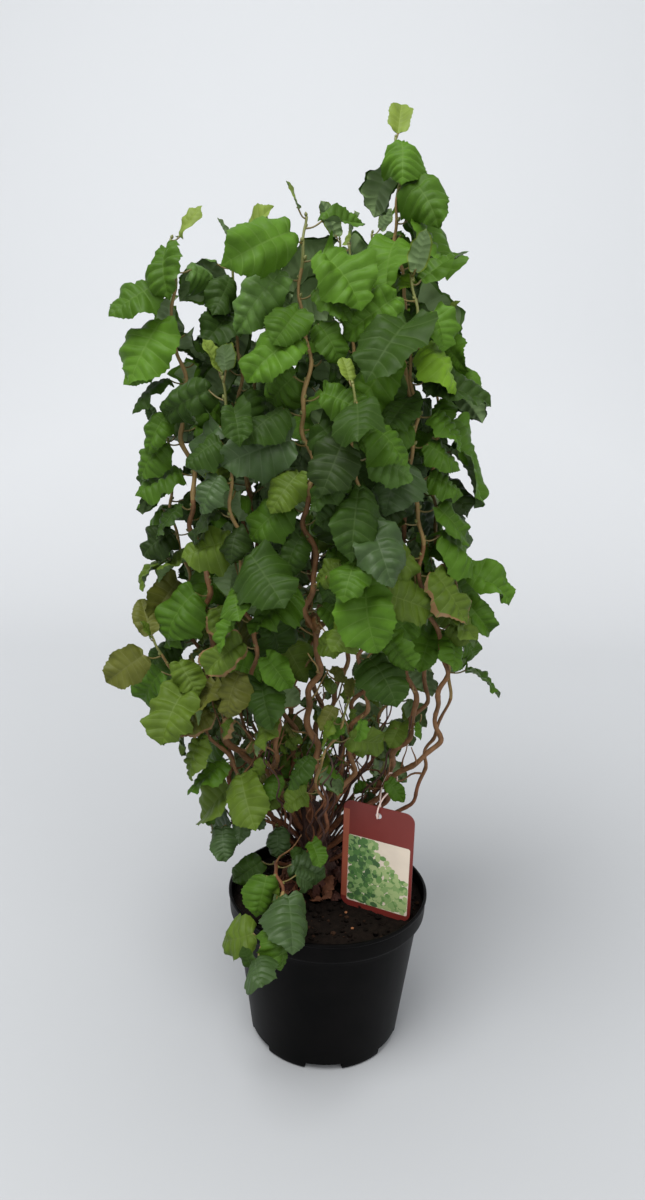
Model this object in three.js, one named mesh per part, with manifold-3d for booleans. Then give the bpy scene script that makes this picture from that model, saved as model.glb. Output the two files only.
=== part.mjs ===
// A young corkscrew hazel in a black nursery pot: a clump of wavy upright stems with crumpled round leaves.
// Millimetres, +Z up. The origin is the middle of the pot's flat underside, and the front looks along -Y.

import * as THREE from "three";
import { mergeVertices } from "three/addons/utils/BufferGeometryUtils.js";
import Module from "manifold-3d";

const wasm = await Module();
wasm.setup();

// Pot and soil
const POT_HEIGHT = 148;
const RIM_RADIUS = 95;
const COLLAR_DEPTH = 21;
const COLLAR_STEP = 5.5;
const COLLAR_LEAN = 1.5;
const COLLAR_SLOPE = 2;
const COLLAR_FILLET = 4;
const RIM_LIP = 1;
const RIM_BAND = 3;
const FOOT_CHAMFER = 3;
const FOOT_RADIUS = 72;
const POT_WALL = 1.6;
const POT_FLOOR = 2.4;
const POT_SIDES = 28;
const DRAIN_SLOTS = 6;
const DRAIN_SLOT_ARC = 0.5;
const DRAIN_SLOT_HEIGHT = 7;
const DRAIN_SLOT_REACH = 12;
const SOIL_TOP = 136;
const GAP = 0.3;

// Trunk, a short stump that the stems leave in all directions
const TRUNK_X = -14;
const TRUNK_Y = 28;
const TRUNK_LEAN_X = -3;
const TRUNK_HEIGHT = 82;
const TRUNK_FOOT_RADIUS = 25;
const TRUNK_WAIST_RADIUS = 13.5;
const TRUNK_FLARE_POWER = 3.2;
const TRUNK_RING_HEIGHTS = [0, 6, 16, 34, 58, TRUNK_HEIGHT];
const TRUNK_SIDES = 10;
const WIDE_LOBES = 0.09;
const NARROW_LOBES = 0.06;

// Stems
const ROOT_INSET = 5;
const SHOULDER_REACH = 15;
const STUB_LENGTH = 26;
const STEM_STEP = 4;
const STEM_TIP_RADIUS = 1.1;
const STEM_TAPER = 0.8;
const SHOULDER_LIFT = 5;
const SHOULDER_LIFT_SHARE = 0.22;
const WAVE_LENGTH = 92;
const WAVE_SIZE = 7;
const WAVE_WANDER = 0.9;
const WANDER_LENGTH = 71;
const WAVE_LIFT_SHARE = 0.4;
const KINK_LENGTH = 37;
const KINK_SIZE = 2.6;
const STRAIGHT_LENGTH = 22;
const WAVE_GROWTH = 50;
const TIP_CALM = 0.62;
const RING_PAST_LEAF = 0.3;
const BOUGH_RING_STEP = 20;
const TWIG_RING_STEP = 28;
const BOUGH_SIDES = 5;
const TWIG_SIDES = 3;

// Leaves. A pair is a least value and how much chance may add to it, and angles are in degrees.
const LEAF_LENGTH = 48;
const LEAF_WIDTH_SHARE = 0.95;
const WIDTH_RANGE = [0.88, 0.2];
const BLADE_DIP = [12, 38];
const BLADE_DROOP = [20, 55];
const BLADE_TWIST = 80;
const BLADE_FOLD = [6, 24];
const BLADE_CURL = [0.1, 0.3];
const SIZE_RANGE = [0.7, 0.6];
const LOW_LEAVES = 220;
const LEAFY_HEIGHT = 480;
const LOW_VIGOUR = 0.72;
const TOP_VIGOUR = 0.44;
const TIP_INSET = 1.5;
const LAST_GAP_SHARE = 1.3;
const YOUNG_LENGTH = 14;
const YOUNG_SHRINK = 0.4;
const YOUNG_STALK_SHRINK = 0.5;
const YOUNG_STALK_RISE = 30;
const YOUNG_BLADE_RISE = 40;
const YOUNG_STIFFNESS = 0.7;
const ANGLE_SPREAD = 50;
const LEAF_THICKNESS = 1;
const STALK_LENGTH = 15;
const STALK_LENGTH_RANGE = [0.7, 0.5];
const STALK_RISE = [10, 35];
const STALK_SQUARING = 0.5;
const STALK_RADIUS = 1.2;
const STALK_ROOTING = 0.3;
const STALK_STATIONS = [0.3, 0.5, 0.7, 0.9];
const LOW_NODE_SPACING = 13.5;
const TOP_NODE_SPACING = 12.4;
const OUTWARD_REACH = 120;
const MOST_OUTWARD = 0.45;
const FRONT_HALF_DEPTH = 80;
const FACE_OUTWARD = 0.4;
const FACE_FORWARD = 0.85;
const FACE_UPWARD = 0.72;
const FACE_SPREAD = 1.1;
const LEAF_CLEARANCE = 1.5;
const LIMB_CLEARANCE = 1.5;
const LIMB_REACH = 7;
const LIMB_RADIUS_SHARE = 0.6;
const OWN_STEM_REACH = 12;
const LEAF_REACH_SHARE = 0.62;
const LEAFLESS_SHARE = 0.03;
const TURNS_TO_TRY = [0, 24, -24, 48, -48, 75, -75];
const SIZES_TO_TRY = [1, 0.78];

// Label that hangs from a stem by a plastic loop and stands on the soil
const LABEL_WIDTH = 70;
const LABEL_HEIGHT = 108;
const LABEL_THICKNESS = 0.8;
const LABEL_CORNER = 9;
const LABEL_TURN = -26;
const LABEL_X = 44;
const LABEL_Y = -27;
const LABEL_HOLE_DROP = 9;
const LABEL_HOLE_RADIUS = 3;
const LOOP_THICKNESS = 1.5;
const LABEL_CLEARANCE = 14;
const LABEL_CLEAR_HEIGHT = 268;
const LOOP_HOLD_HEIGHT = 257;
const LOOP_STEM = "right_front_leader";
const LOOP_LIFT = 6.3;
const LOOP_ROOM = 1.5;
const LOOP_FRONT = 5;
const LOOP_TURNS = 24;
const LOOP_SIDES = 5;

// Each shoot's exit is the compass angle and the height at which it leaves the trunk. It turns up at its
// elbow, passes its belly and ends at its tip. bare is the share of its length below the first leaf, first
// is the first leaf's angle, drift is how far the leaves turn round the stem from each pair to the next,
// vigour sizes its leaves, and open widens their spacing.
const SHOOTS = [
  {
    name: "left_leader",
    exit: [176, 68],
    radius: 3.9,
    elbow: [-72, 4, 262],
    belly: [-116, -2, 440],
    tip: [-146, 2, 728],
    bare: 0.25,
    first: 184,
    drift: 1,
    open: 1,
    vigour: 1,
    seed: 201,
  },
  {
    name: "left_inner_leader",
    exit: [150, 60],
    radius: 3,
    elbow: [-42, 34, 305],
    belly: [-84, 44, 500],
    tip: [-98, 42, 728],
    bare: 0.3,
    first: 120,
    drift: 20,
    open: 1,
    vigour: 1,
    seed: 202,
  },
  {
    name: "front_leader",
    exit: [265, 62],
    radius: 3.8,
    elbow: [-18, -22, 350],
    belly: [-26, -50, 520],
    tip: [-36, -44, 738],
    bare: 0.4,
    first: 0,
    drift: 1,
    open: 1,
    vigour: 1,
    seed: 272,
  },
  {
    name: "right_tall_leader",
    exit: [345, 30],
    radius: 3.4,
    elbow: [56, 16, 252],
    belly: [62, 16, 470],
    tip: [35, 12, 810],
    bare: 0.4,
    first: 0,
    drift: 3,
    open: 1,
    vigour: 1,
    seed: 285,
  },
  {
    name: "right_front_leader",
    exit: [328, 46],
    radius: 3.1,
    elbow: [90, -10, 300],
    belly: [62, -38, 510],
    tip: [50, -40, 700],
    bare: 0.46,
    first: 0,
    drift: 1,
    open: 1,
    vigour: 1,
    seed: 129,
  },
  {
    name: "right_outer_leader",
    exit: [10, 40],
    radius: 2.8,
    elbow: [78, 30, 310],
    belly: [84, 22, 470],
    tip: [80, 20, 668],
    bare: 0.44,
    first: 0,
    drift: 14,
    open: 1,
    vigour: 1,
    seed: 230,
  },
  {
    name: "middle_leader",
    exit: [20, 72],
    radius: 3,
    elbow: [4, 42, 310],
    belly: [14, 50, 500],
    tip: [-1, 50, 733],
    bare: 0.42,
    first: 60,
    drift: 26,
    open: 1,
    vigour: 1,
    seed: 289,
  },
  {
    name: "back_left_leader",
    exit: [128, 44],
    radius: 3.2,
    elbow: [-50, 74, 300],
    belly: [-84, 90, 500],
    tip: [-66, 62, 736],
    bare: 0.34,
    first: 150,
    drift: 26,
    open: 1,
    vigour: 1,
    seed: 150,
  },
  {
    name: "back_leader",
    exit: [95, 66],
    radius: 3.3,
    elbow: [-18, 84, 310],
    belly: [-22, 124, 500],
    tip: [-8, 106, 748],
    bare: 0.36,
    first: 90,
    drift: 26,
    open: 1,
    vigour: 1,
    seed: 53,
  },
  {
    name: "back_right_leader",
    exit: [60, 38],
    radius: 3,
    elbow: [26, 76, 300],
    belly: [58, 102, 480],
    tip: [26, 86, 750],
    bare: 0.38,
    first: 20,
    drift: 26,
    open: 1,
    vigour: 1,
    seed: 256,
  },
  {
    name: "front_left_leader",
    exit: [222, 50],
    radius: 2.9,
    elbow: [-52, -14, 300],
    belly: [-76, -52, 430],
    tip: [-92, -58, 618],
    bare: 0.27,
    first: 230,
    drift: 20,
    open: 1,
    vigour: 1,
    seed: 265,
  },
  {
    name: "front_right_leader",
    exit: [296, 50],
    radius: 2.9,
    elbow: [18, -26, 300],
    belly: [24, -70, 430],
    tip: [4, -84, 614],
    bare: 0.48,
    first: 300,
    drift: 20,
    open: 1,
    vigour: 1,
    seed: 142,
  },
  {
    name: "left_short_leader",
    exit: [180, 28],
    radius: 2.8,
    elbow: [-98, 22, 258],
    belly: [-132, 26, 400],
    tip: [-156, 20, 572],
    bare: 0.36,
    first: 180,
    drift: 8,
    open: 1,
    vigour: 1,
    seed: 178,
  },
  {
    name: "left_twisted_shoot",
    exit: [158, 40],
    radius: 2.5,
    elbow: [-66, 44, 240],
    belly: [-98, 54, 330],
    tip: [-116, 50, 462],
    bare: 0.36,
    first: 150,
    drift: 20,
    open: 1,
    vigour: 1,
    seed: 39,
  },
  {
    name: "right_low_shoot",
    exit: [350, 16],
    radius: 2.4,
    elbow: [88, 10, 266],
    belly: [104, 6, 356],
    tip: [104, 0, 474],
    bare: 0.66,
    first: 0,
    drift: 20,
    open: 1,
    vigour: 1.15,
    seed: 194,
  },
  {
    name: "low_front_shoot",
    exit: [278, 22],
    radius: 2.3,
    elbow: [-8, -24, 222],
    belly: [-8, -46, 290],
    tip: [10, -52, 352],
    bare: 0.55,
    first: 180,
    drift: 10,
    open: 1.4,
    vigour: 1,
    seed: 328,
  },
  {
    name: "low_left_shoot",
    exit: [196, 40],
    radius: 2.6,
    elbow: [-80, -8, 250],
    belly: [-122, -14, 330],
    tip: [-160, -22, 398],
    bare: 0.36,
    first: 180,
    drift: 20,
    open: 1,
    vigour: 1.25,
    seed: 96,
  },
  {
    name: "low_left_drooper",
    exit: [208, 30],
    radius: 2.4,
    elbow: [-54, 4, 206],
    belly: [-84, -2, 218],
    tip: [-112, -12, 204],
    bare: 0.4,
    first: 250,
    drift: 20,
    open: 1,
    vigour: 1.1,
    seed: 34,
  },
  {
    name: "pot_edge_drooper",
    exit: [235, 12],
    radius: 2.3,
    elbow: [-46, -22, 182],
    belly: [-46, -70, 182],
    tip: [-56, -112, 134],
    bare: 0.3,
    first: 200,
    drift: 20,
    open: 1,
    vigour: 1.25,
    seed: 371,
  },
  {
    name: "low_back_left_shoot",
    exit: [142, 34],
    radius: 2.5,
    elbow: [-64, 70, 240],
    belly: [-98, 92, 310],
    tip: [-122, 104, 390],
    bare: 0.36,
    first: 140,
    drift: 20,
    open: 1.2,
    vigour: 1,
    seed: 236,
  },
  {
    name: "low_back_right_shoot",
    exit: [40, 30],
    radius: 2.5,
    elbow: [32, 74, 236],
    belly: [56, 96, 290],
    tip: [72, 108, 372],
    bare: 0.36,
    first: 50,
    drift: 20,
    open: 1.2,
    vigour: 1,
    seed: 54,
  },
];

const UP = new THREE.Vector3(0, 0, 1);
const radians = THREE.MathUtils.degToRad;

// Manifold solids from three.js geometry, and back
function solid(geometry) {
  const bare = geometry.index ? geometry.toNonIndexed() : geometry.clone();
  bare.deleteAttribute("normal");
  bare.deleteAttribute("uv");
  const merged = mergeVertices(bare, 1e-4);
  return new wasm.Manifold(
    new wasm.Mesh({
      numProp: 3,
      vertProperties: new Float32Array(merged.attributes.position.array),
      triVerts: new Uint32Array(merged.index.array),
    }),
  );
}

function geometryOf(made) {
  const mesh = made.getMesh();
  const geometry = new THREE.BufferGeometry();
  geometry.setAttribute("position", new THREE.BufferAttribute(mesh.vertProperties, 3));
  geometry.setIndex(new THREE.BufferAttribute(mesh.triVerts, 1));
  geometry.computeVertexNormals();
  return geometry;
}

function closedGeometry(vertices, faces) {
  const geometry = new THREE.BufferGeometry();
  const numbers = vertices.flatMap((v) => v.toArray());
  geometry.setAttribute("position", new THREE.Float32BufferAttribute(numbers, 3));
  geometry.setIndex(faces.flat());
  geometry.computeVertexNormals();
  return geometry;
}

// Numbers from 0 to 1 that are the same on every run
function chanceFrom(seed) {
  let state = seed >>> 0;
  return () => {
    state = (Math.imul(state, 1664525) + 1013904223) >>> 0;
    return state / 4294967296;
  };
}

// A value between the pair's least and its most
function drawn([least, spread], chance) {
  return least + spread * chance();
}

function smooth(t) {
  return t * t * (3 - 2 * t);
}

function compass(degrees) {
  return new THREE.Vector3(Math.cos(radians(degrees)), Math.sin(radians(degrees)), 0);
}

function trunkAxis(height) {
  const lean = (TRUNK_LEAN_X * height) / TRUNK_HEIGHT;
  return new THREE.Vector3(TRUNK_X + lean, TRUNK_Y, SOIL_TOP + GAP + height);
}

// A smooth cubic through the places, with knots spaced by their distances
function smoothThrough(places) {
  const knots = [0];
  for (let i = 1; i < places.length; i++) {
    knots.push(knots[i - 1] + places[i].distanceTo(places[i - 1]));
  }
  const slope = (i) => places[i + 1].clone().sub(places[i]).divideScalar(knots[i + 1] - knots[i]);
  const last = places.length - 1;
  const tangents = places.map((_, i) => {
    if (i === 0) return slope(0);
    if (i === last) return slope(last - 1);
    const before = knots[i] - knots[i - 1];
    const after = knots[i + 1] - knots[i];
    const both = slope(i).multiplyScalar(before).addScaledVector(slope(i - 1), after);
    return both.divideScalar(before + after);
  });
  return (distance) => {
    let i = 0;
    while (i < last - 1 && distance > knots[i + 1]) i++;
    const span = knots[i + 1] - knots[i];
    const t = (distance - knots[i]) / span;
    return places[i]
      .clone()
      .multiplyScalar(2 * t ** 3 - 3 * t ** 2 + 1)
      .addScaledVector(tangents[i], (t ** 3 - 2 * t ** 2 + t) * span)
      .addScaledVector(places[i + 1], 3 * t ** 2 - 2 * t ** 3)
      .addScaledVector(tangents[i + 1], (t ** 3 - t ** 2) * span);
  };
}

function radiusAt(shoot, share) {
  return STEM_TIP_RADIUS + (shoot.radius - STEM_TIP_RADIUS) * Math.max(0, 1 - share) ** STEM_TAPER;
}

// The wavy centre line of a shoot, as points STEM_STEP apart, with its radius at each point
function stemOf(shoot) {
  const chance = chanceFrom(shoot.seed * 7919);
  const [angle, height] = shoot.exit;
  const root = trunkAxis(height).addScaledVector(compass(angle), ROOT_INSET);
  const shoulder = root.clone().addScaledVector(compass(angle), SHOULDER_REACH);
  shoulder.addScaledVector(UP, SHOULDER_LIFT + height * SHOULDER_LIFT_SHARE);
  const onward = [shoot.elbow, shoot.belly, shoot.tip].map((p) => new THREE.Vector3(...p));
  const places = [root, shoulder, ...onward];
  const curve = smoothThrough(places);
  let length = 0;
  for (let i = 1; i < places.length; i++) {
    length += places[i].distanceTo(places[i - 1]);
  }
  const phase = chance() * Math.PI * 2;
  const second = chance() * Math.PI * 2;
  const count = Math.round(length / STEM_STEP);
  const points = [];
  const radii = [];
  for (let i = 0; i <= count; i++) {
    const distance = (length * i) / count;
    const share = i / count;
    const grown = Math.min(1, Math.max(0, (distance - STRAIGHT_LENGTH) / WAVE_GROWTH));
    const calm = grown * (1 - TIP_CALM * share);
    const wander = WAVE_WANDER * Math.sin(distance / WANDER_LENGTH + second);
    const wave = phase + (Math.PI * 2 * distance) / WAVE_LENGTH + wander;
    const kink = second + (Math.PI * 2 * distance) / KINK_LENGTH;
    points.push(
      curve(distance).add(
        new THREE.Vector3(
          WAVE_SIZE * Math.cos(wave) + KINK_SIZE * Math.sin(kink),
          WAVE_SIZE * Math.sin(wave) + KINK_SIZE * Math.cos(kink),
          WAVE_SIZE * WAVE_LIFT_SHARE * Math.sin(kink / 2),
        ).multiplyScalar(calm),
      ),
    );
    radii.push(radiusAt(shoot, share));
  }
  return { shoot, points, radii, length };
}

function alongStem(stem, share) {
  const place = share * (stem.points.length - 1);
  const i = Math.min(stem.points.length - 2, Math.floor(place));
  return stem.points[i].clone().lerp(stem.points[i + 1], place - i);
}

function directionAt(stem, share) {
  const ahead = alongStem(stem, Math.min(1, share + 0.01));
  return ahead.sub(alongStem(stem, Math.max(0, share - 0.01))).normalize();
}

// A leaf blade is bent down along its midrib, folded up along it and twisted. s runs from its base to its
// tip, and x is the distance to one side of the midrib.
function leafPoint(leaf, s, x) {
  const bend = leaf.droop * s;
  const reach = leaf.droop > 0.01 ? (Math.sin(bend) / leaf.droop) * leaf.length : s * leaf.length;
  const fall = leaf.droop > 0.01 ? ((1 - Math.cos(bend)) / leaf.droop) * leaf.length : 0;
  const normal = leaf.normal.clone().multiplyScalar(Math.cos(bend));
  normal.addScaledVector(leaf.along, Math.sin(bend));
  const turn = leaf.twist * s;
  const side = leaf.side.clone().multiplyScalar(Math.cos(turn)).addScaledVector(normal, Math.sin(turn));
  const above = normal.multiplyScalar(Math.cos(turn)).addScaledVector(leaf.side, -Math.sin(turn));
  const half = 0.5 * leaf.width;
  const lift = Math.abs(x) * Math.sin(leaf.fold) - (leaf.curl * x * x) / half;
  return leaf.base
    .clone()
    .addScaledVector(leaf.along, reach)
    .addScaledVector(leaf.normal, -fall)
    .addScaledVector(side, x * Math.cos(leaf.fold))
    .addScaledVector(above, lift);
}

// Half the width of the blade at s: round, widest past its middle, with a short pointed tip
function halfWidth(leaf, s) {
  return 0.5 * leaf.width * Math.sin(Math.PI * s ** 0.82) ** 0.62 * (1 - 0.12 * s);
}

// The corners of the plain blade: right side, tip, left side, then the middle of the midrib and its base
const SIDE_STATIONS = [0.16, 0.7];
const RIB_STATION = 0.5;

function bladeCorners(leaf) {
  const right = SIDE_STATIONS.map((s) => leafPoint(leaf, s, halfWidth(leaf, s)));
  const left = SIDE_STATIONS.map((s) => leafPoint(leaf, s, -halfWidth(leaf, s))).reverse();
  return [...right, leafPoint(leaf, 1, 0), ...left, leafPoint(leaf, RIB_STATION, 0), leaf.base];
}

const BLADE_RIM = [6, 0, 1, 2, 3, 4];
const BLADE_MIDDLE = 5;
const BLADE_EDGES = BLADE_RIM.map((corner, i) => [corner, BLADE_RIM[(i + 1) % BLADE_RIM.length]]);
const BLADE_SPOKES = BLADE_RIM.map((corner) => [BLADE_MIDDLE, corner]);
const BLADE_TRIANGLES = BLADE_EDGES.map(([a, b]) => [a, b, BLADE_MIDDLE]);

// The light that a leaf turns its face to: up and out of the crown, forward in its front half and backward
// behind
function lightAt(root, outward, chance) {
  const front = THREE.MathUtils.clamp(0.5 - (root.y - TRUNK_Y) / FRONT_HALF_DEPTH, 0, 1);
  const scatter = () => FACE_SPREAD * (chance() - 0.5);
  return new THREE.Vector3(
    FACE_OUTWARD * outward.x + scatter(),
    FACE_FORWARD * (1 - 2 * front) + scatter(),
    FACE_UPWARD + scatter(),
  );
}

// Leaves stand one by one on alternate sides of their stem, turning a little at each node. They lean out of
// the crown, hang down, and turn their faces to the light.
function leafAt(stem, share, angle, grown, youth, chance) {
  const tangent = directionAt(stem, share);
  const root = alongStem(stem, share);
  const outward = new THREE.Vector3(root.x - TRUNK_X, root.y - TRUNK_Y, 0).divideScalar(OUTWARD_REACH);
  if (outward.length() > MOST_OUTWARD) outward.setLength(MOST_OUTWARD);
  const level = compass(angle).add(outward).setZ(0).normalize();
  const rise = radians(drawn(STALK_RISE, chance) + YOUNG_STALK_RISE * youth);
  const stalk = level.clone().multiplyScalar(Math.cos(rise)).addScaledVector(UP, Math.sin(rise));
  stalk.addScaledVector(tangent, -STALK_SQUARING * stalk.dot(tangent)).normalize();
  const stalkLength = STALK_LENGTH * drawn(STALK_LENGTH_RANGE, chance) * (1 - YOUNG_STALK_SHRINK * youth);
  const base = root.clone().addScaledVector(stalk, stalkLength);
  const dip = radians(YOUNG_BLADE_RISE * youth - drawn(BLADE_DIP, chance) * (1 - youth));
  const along = level.clone().multiplyScalar(Math.cos(dip)).addScaledVector(UP, Math.sin(dip));
  const lit = lightAt(root, outward, chance);
  const normal = lit.addScaledVector(along, -lit.dot(along)).normalize();
  const length = LEAF_LENGTH * grown;
  return {
    root,
    base,
    along,
    side: along.clone().cross(normal),
    normal,
    length,
    width: length * LEAF_WIDTH_SHARE * drawn(WIDTH_RANGE, chance),
    droop: radians(drawn(BLADE_DROOP, chance) * (1 - YOUNG_STIFFNESS * youth)),
    twist: radians(BLADE_TWIST * (chance() - 0.5)),
    fold: radians(drawn(BLADE_FOLD, chance)),
    curl: drawn(BLADE_CURL, chance),
  };
}

const measured = new THREE.Triangle();
const nearest = new THREE.Vector3();

function nearBlade(points, corners, reach) {
  return BLADE_TRIANGLES.some(([a, b, c]) => {
    measured.set(corners[a], corners[b], corners[c]);
    return points.some((p) => {
      measured.closestPointToPoint(p, nearest);
      return nearest.distanceToSquared(p) < reach * reach;
    });
  });
}

const ray = new THREE.Ray();

// True where the straight line from one place to the other runs through the blade
function pierces(from, to, corners) {
  const span = to.clone().sub(from);
  const length = span.length();
  ray.set(from, span.divideScalar(length));
  return BLADE_TRIANGLES.some(([a, b, c]) => {
    const hit = ray.intersectTriangle(corners[a], corners[b], corners[c], false, nearest);
    return hit !== null && hit.distanceTo(from) < length;
  });
}

function crosses(leaf, other) {
  const lines = [...BLADE_EDGES, ...BLADE_SPOKES].map((line) => line.map((corner) => leaf.corners[corner]));
  lines.push([leaf.root, leaf.base]);
  return lines.some(([from, to]) => pierces(from, to, other.corners));
}

function touchesLeaf(leaf, placed) {
  return placed.some((other) => {
    const farthest = (leaf.length + other.length) * LEAF_REACH_SHARE + STALK_LENGTH;
    if (leaf.middle.distanceTo(other.middle) > farthest) return false;
    return (
      crosses(leaf, other) ||
      crosses(other, leaf) ||
      nearBlade([...leaf.corners, ...leaf.stalk], other.corners, LEAF_CLEARANCE) ||
      nearBlade([...other.corners, ...other.stalk], leaf.corners, LEAF_CLEARANCE)
    );
  });
}

function touchesLimb(leaf, stem, stems) {
  const box = new THREE.Box3().setFromPoints(leaf.corners).expandByScalar(LIMB_REACH);
  const stalkBox = new THREE.Box3().setFromPoints(leaf.stalk).expandByScalar(LIMB_REACH);
  return stems.some((other) => {
    const reach = LIMB_CLEARANCE + other.radii[0] * LIMB_RADIUS_SHARE;
    const near = other.points.filter((p) => box.containsPoint(p));
    const close = other === stem ? near.filter((p) => p.distanceTo(leaf.root) > OWN_STEM_REACH) : near;
    if (nearBlade(close, leaf.corners, reach)) return true;
    if (other === stem) return false;
    const beside = other.points.filter((p) => stalkBox.containsPoint(p));
    return beside.some((p) => leaf.stalk.some((q) => q.distanceTo(p) < reach));
  });
}

// True where the leaf would dip into the pot, the soil, the stump or the label
function leavesSpace(leaf) {
  return [...leaf.corners, ...leaf.stalk].some((p) => {
    const fromAxis = Math.hypot(p.x, p.y);
    const inPot = fromAxis < RIM_RADIUS + LIMB_CLEARANCE && p.z < POT_HEIGHT + LIMB_CLEARANCE;
    const fromStump = Math.hypot(p.x - TRUNK_X, p.y - TRUNK_Y);
    const inStump = fromStump < TRUNK_FOOT_RADIUS && p.z < SOIL_TOP + TRUNK_HEIGHT;
    return inPot || inStump || nearLabel(p);
  });
}

function nearLabel(p) {
  const away = p.clone().sub(new THREE.Vector3(LABEL_X, LABEL_Y, SOIL_TOP));
  const across = compass(LABEL_TURN);
  const through = compass(LABEL_TURN + 90);
  return (
    Math.abs(away.dot(across)) < LABEL_WIDTH / 2 + LIMB_CLEARANCE &&
    Math.abs(away.dot(through)) < LABEL_CLEARANCE &&
    away.z < LABEL_CLEAR_HEIGHT - SOIL_TOP
  );
}

function tryLeaf(stem, share, angle, grown, youth, seed, stems, placed) {
  for (const size of SIZES_TO_TRY) {
    for (const turn of TURNS_TO_TRY) {
      const leaf = leafAt(stem, share, angle + turn, grown * size, youth, chanceFrom(seed));
      leaf.corners = bladeCorners(leaf);
      leaf.stalk = STALK_STATIONS.map((t) => leaf.root.clone().lerp(leaf.base, t));
      leaf.middle = leafPoint(leaf, 0.5, 0);
      if (!leavesSpace(leaf) && !touchesLimb(leaf, stem, stems) && !touchesLeaf(leaf, placed)) return leaf;
    }
  }
  return null;
}

function leavesOf(stem, stems, placed) {
  const { shoot, length } = stem;
  const chance = chanceFrom(shoot.seed * 104729);
  const made = [];
  let distance = length * (shoot.bare + LEAFLESS_SHARE);
  for (let node = 0; distance < length; node++) {
    const share = distance / length;
    const youth = Math.max(0, 1 - (length - distance) / YOUNG_LENGTH);
    const high = THREE.MathUtils.clamp((alongStem(stem, share).z - LOW_LEAVES) / LEAFY_HEIGHT, 0, 1);
    const vigour = shoot.vigour * (LOW_VIGOUR + TOP_VIGOUR * high);
    const grown = vigour * (1 - YOUNG_SHRINK * youth) * drawn(SIZE_RANGE, chance);
    const angle = shoot.first + node * (180 + shoot.drift) + ANGLE_SPREAD * (chance() - 0.5);
    const leaf = tryLeaf(stem, share, angle, grown, youth, shoot.seed * 1000 + node, stems, placed);
    if (leaf) {
      leaf.distance = distance;
      made.push(leaf);
      placed.push(leaf);
    }
    // The last leaf ends the shoot
    const spacing = shoot.open * (LOW_NODE_SPACING + (TOP_NODE_SPACING - LOW_NODE_SPACING) * high);
    const last = length - TIP_INSET;
    const nearLast = distance < last && distance + spacing * LAST_GAP_SHARE > last;
    distance = nearLast ? last : distance + spacing;
  }
  return made;
}

// A closed tapering tube along the points, with each ring square to its tangent
function limbSolid(points, tangents, radii, sides) {
  const rings = [];
  let across = new THREE.Vector3(0.31, 0.95, 0.05);
  points.forEach((p, i) => {
    const tangent = tangents[i];
    across = across.clone().addScaledVector(tangent, -across.dot(tangent)).normalize();
    const over = tangent.clone().cross(across);
    for (let k = 0; k < sides; k++) {
      const turn = (k / sides) * Math.PI * 2;
      rings.push(
        p
          .clone()
          .addScaledVector(across, Math.cos(turn) * radii[i])
          .addScaledVector(over, Math.sin(turn) * radii[i]),
      );
    }
  });
  return solid(closedGeometry(rings, tubeFaces(points.length, sides)));
}

// The faces of a closed tube, from its first ring to its last
function tubeFaces(ringCount, sides) {
  const faces = [];
  for (let i = 0; i + 1 < ringCount; i++) {
    for (let k = 0; k < sides; k++) {
      const a = i * sides + k;
      const b = i * sides + ((k + 1) % sides);
      faces.push([a, b, b + sides], [a, b + sides, a + sides]);
    }
  }
  const top = (ringCount - 1) * sides;
  for (let k = 1; k + 1 < sides; k++) {
    faces.push([0, k + 1, k], [top, top + k, top + k + 1]);
  }
  return faces;
}

function evenly(from, to, step) {
  const count = Math.max(1, Math.round((to - from) / step));
  return Array.from({ length: count + 1 }, (_, i) => from + ((to - from) * i) / count);
}

// The stretch of a stem that has its rings at these distances
function stretch(stem, distances, sides) {
  const points = distances.map((distance) => alongStem(stem, distance / stem.length));
  const tangents = distances.map((distance) => directionAt(stem, distance / stem.length));
  const radii = distances.map((distance) => radiusAt(stem.shoot, distance / stem.length));
  return limbSolid(points, tangents, radii, sides);
}

// A leaf as one solid: a three-sided stalk from deep inside the stem that opens into the blade's two faces
function leafSolid(leaf) {
  const edge = leaf.corners.slice(0, 5);
  const raised = leaf.corners[5].clone().addScaledVector(leaf.normal, LEAF_THICKNESS / 2);
  const lowered = leaf.corners[5].clone().addScaledVector(leaf.normal, -LEAF_THICKNESS / 2);
  const stalkway = leaf.base.clone().sub(leaf.root).normalize();
  const between = stalkway.clone().add(leaf.along).normalize();
  const across = leaf.side.clone().addScaledVector(between, -leaf.side.dot(between)).normalize();
  const under = across.clone().cross(between).multiplyScalar(-1);
  // 0 to 4 the edge from right to left, 5 and 6 the midrib raised and lowered,
  // 7 8 9 right, left and under at the neck, 10 the foot of the stalk
  const top = [[8, 7, 5], [7, 0, 5], [0, 1, 5], [1, 2, 5], [2, 3, 5], [3, 4, 5], [4, 8, 5]];
  const bottom = [[7, 9, 6], [9, 8, 6], [8, 4, 6], [4, 3, 6], [3, 2, 6], [2, 1, 6], [1, 0, 6], [0, 7, 6]];
  const stalk = [[7, 8, 10], [8, 9, 10], [9, 7, 10]];
  const neck = [
    leaf.base.clone().addScaledVector(across, STALK_RADIUS),
    leaf.base.clone().addScaledVector(across, -STALK_RADIUS),
    leaf.base.clone().addScaledVector(under, STALK_RADIUS * 1.5),
  ];
  const foot = leaf.root.clone().addScaledVector(stalkway, -leaf.rooting);
  const vertices = [...edge, raised, lowered, ...neck, foot];
  return solid(closedGeometry(vertices, [...top, ...bottom, ...stalk]));
}

const stubLength = (stem) => STUB_LENGTH + stem.shoot.radius;

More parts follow.
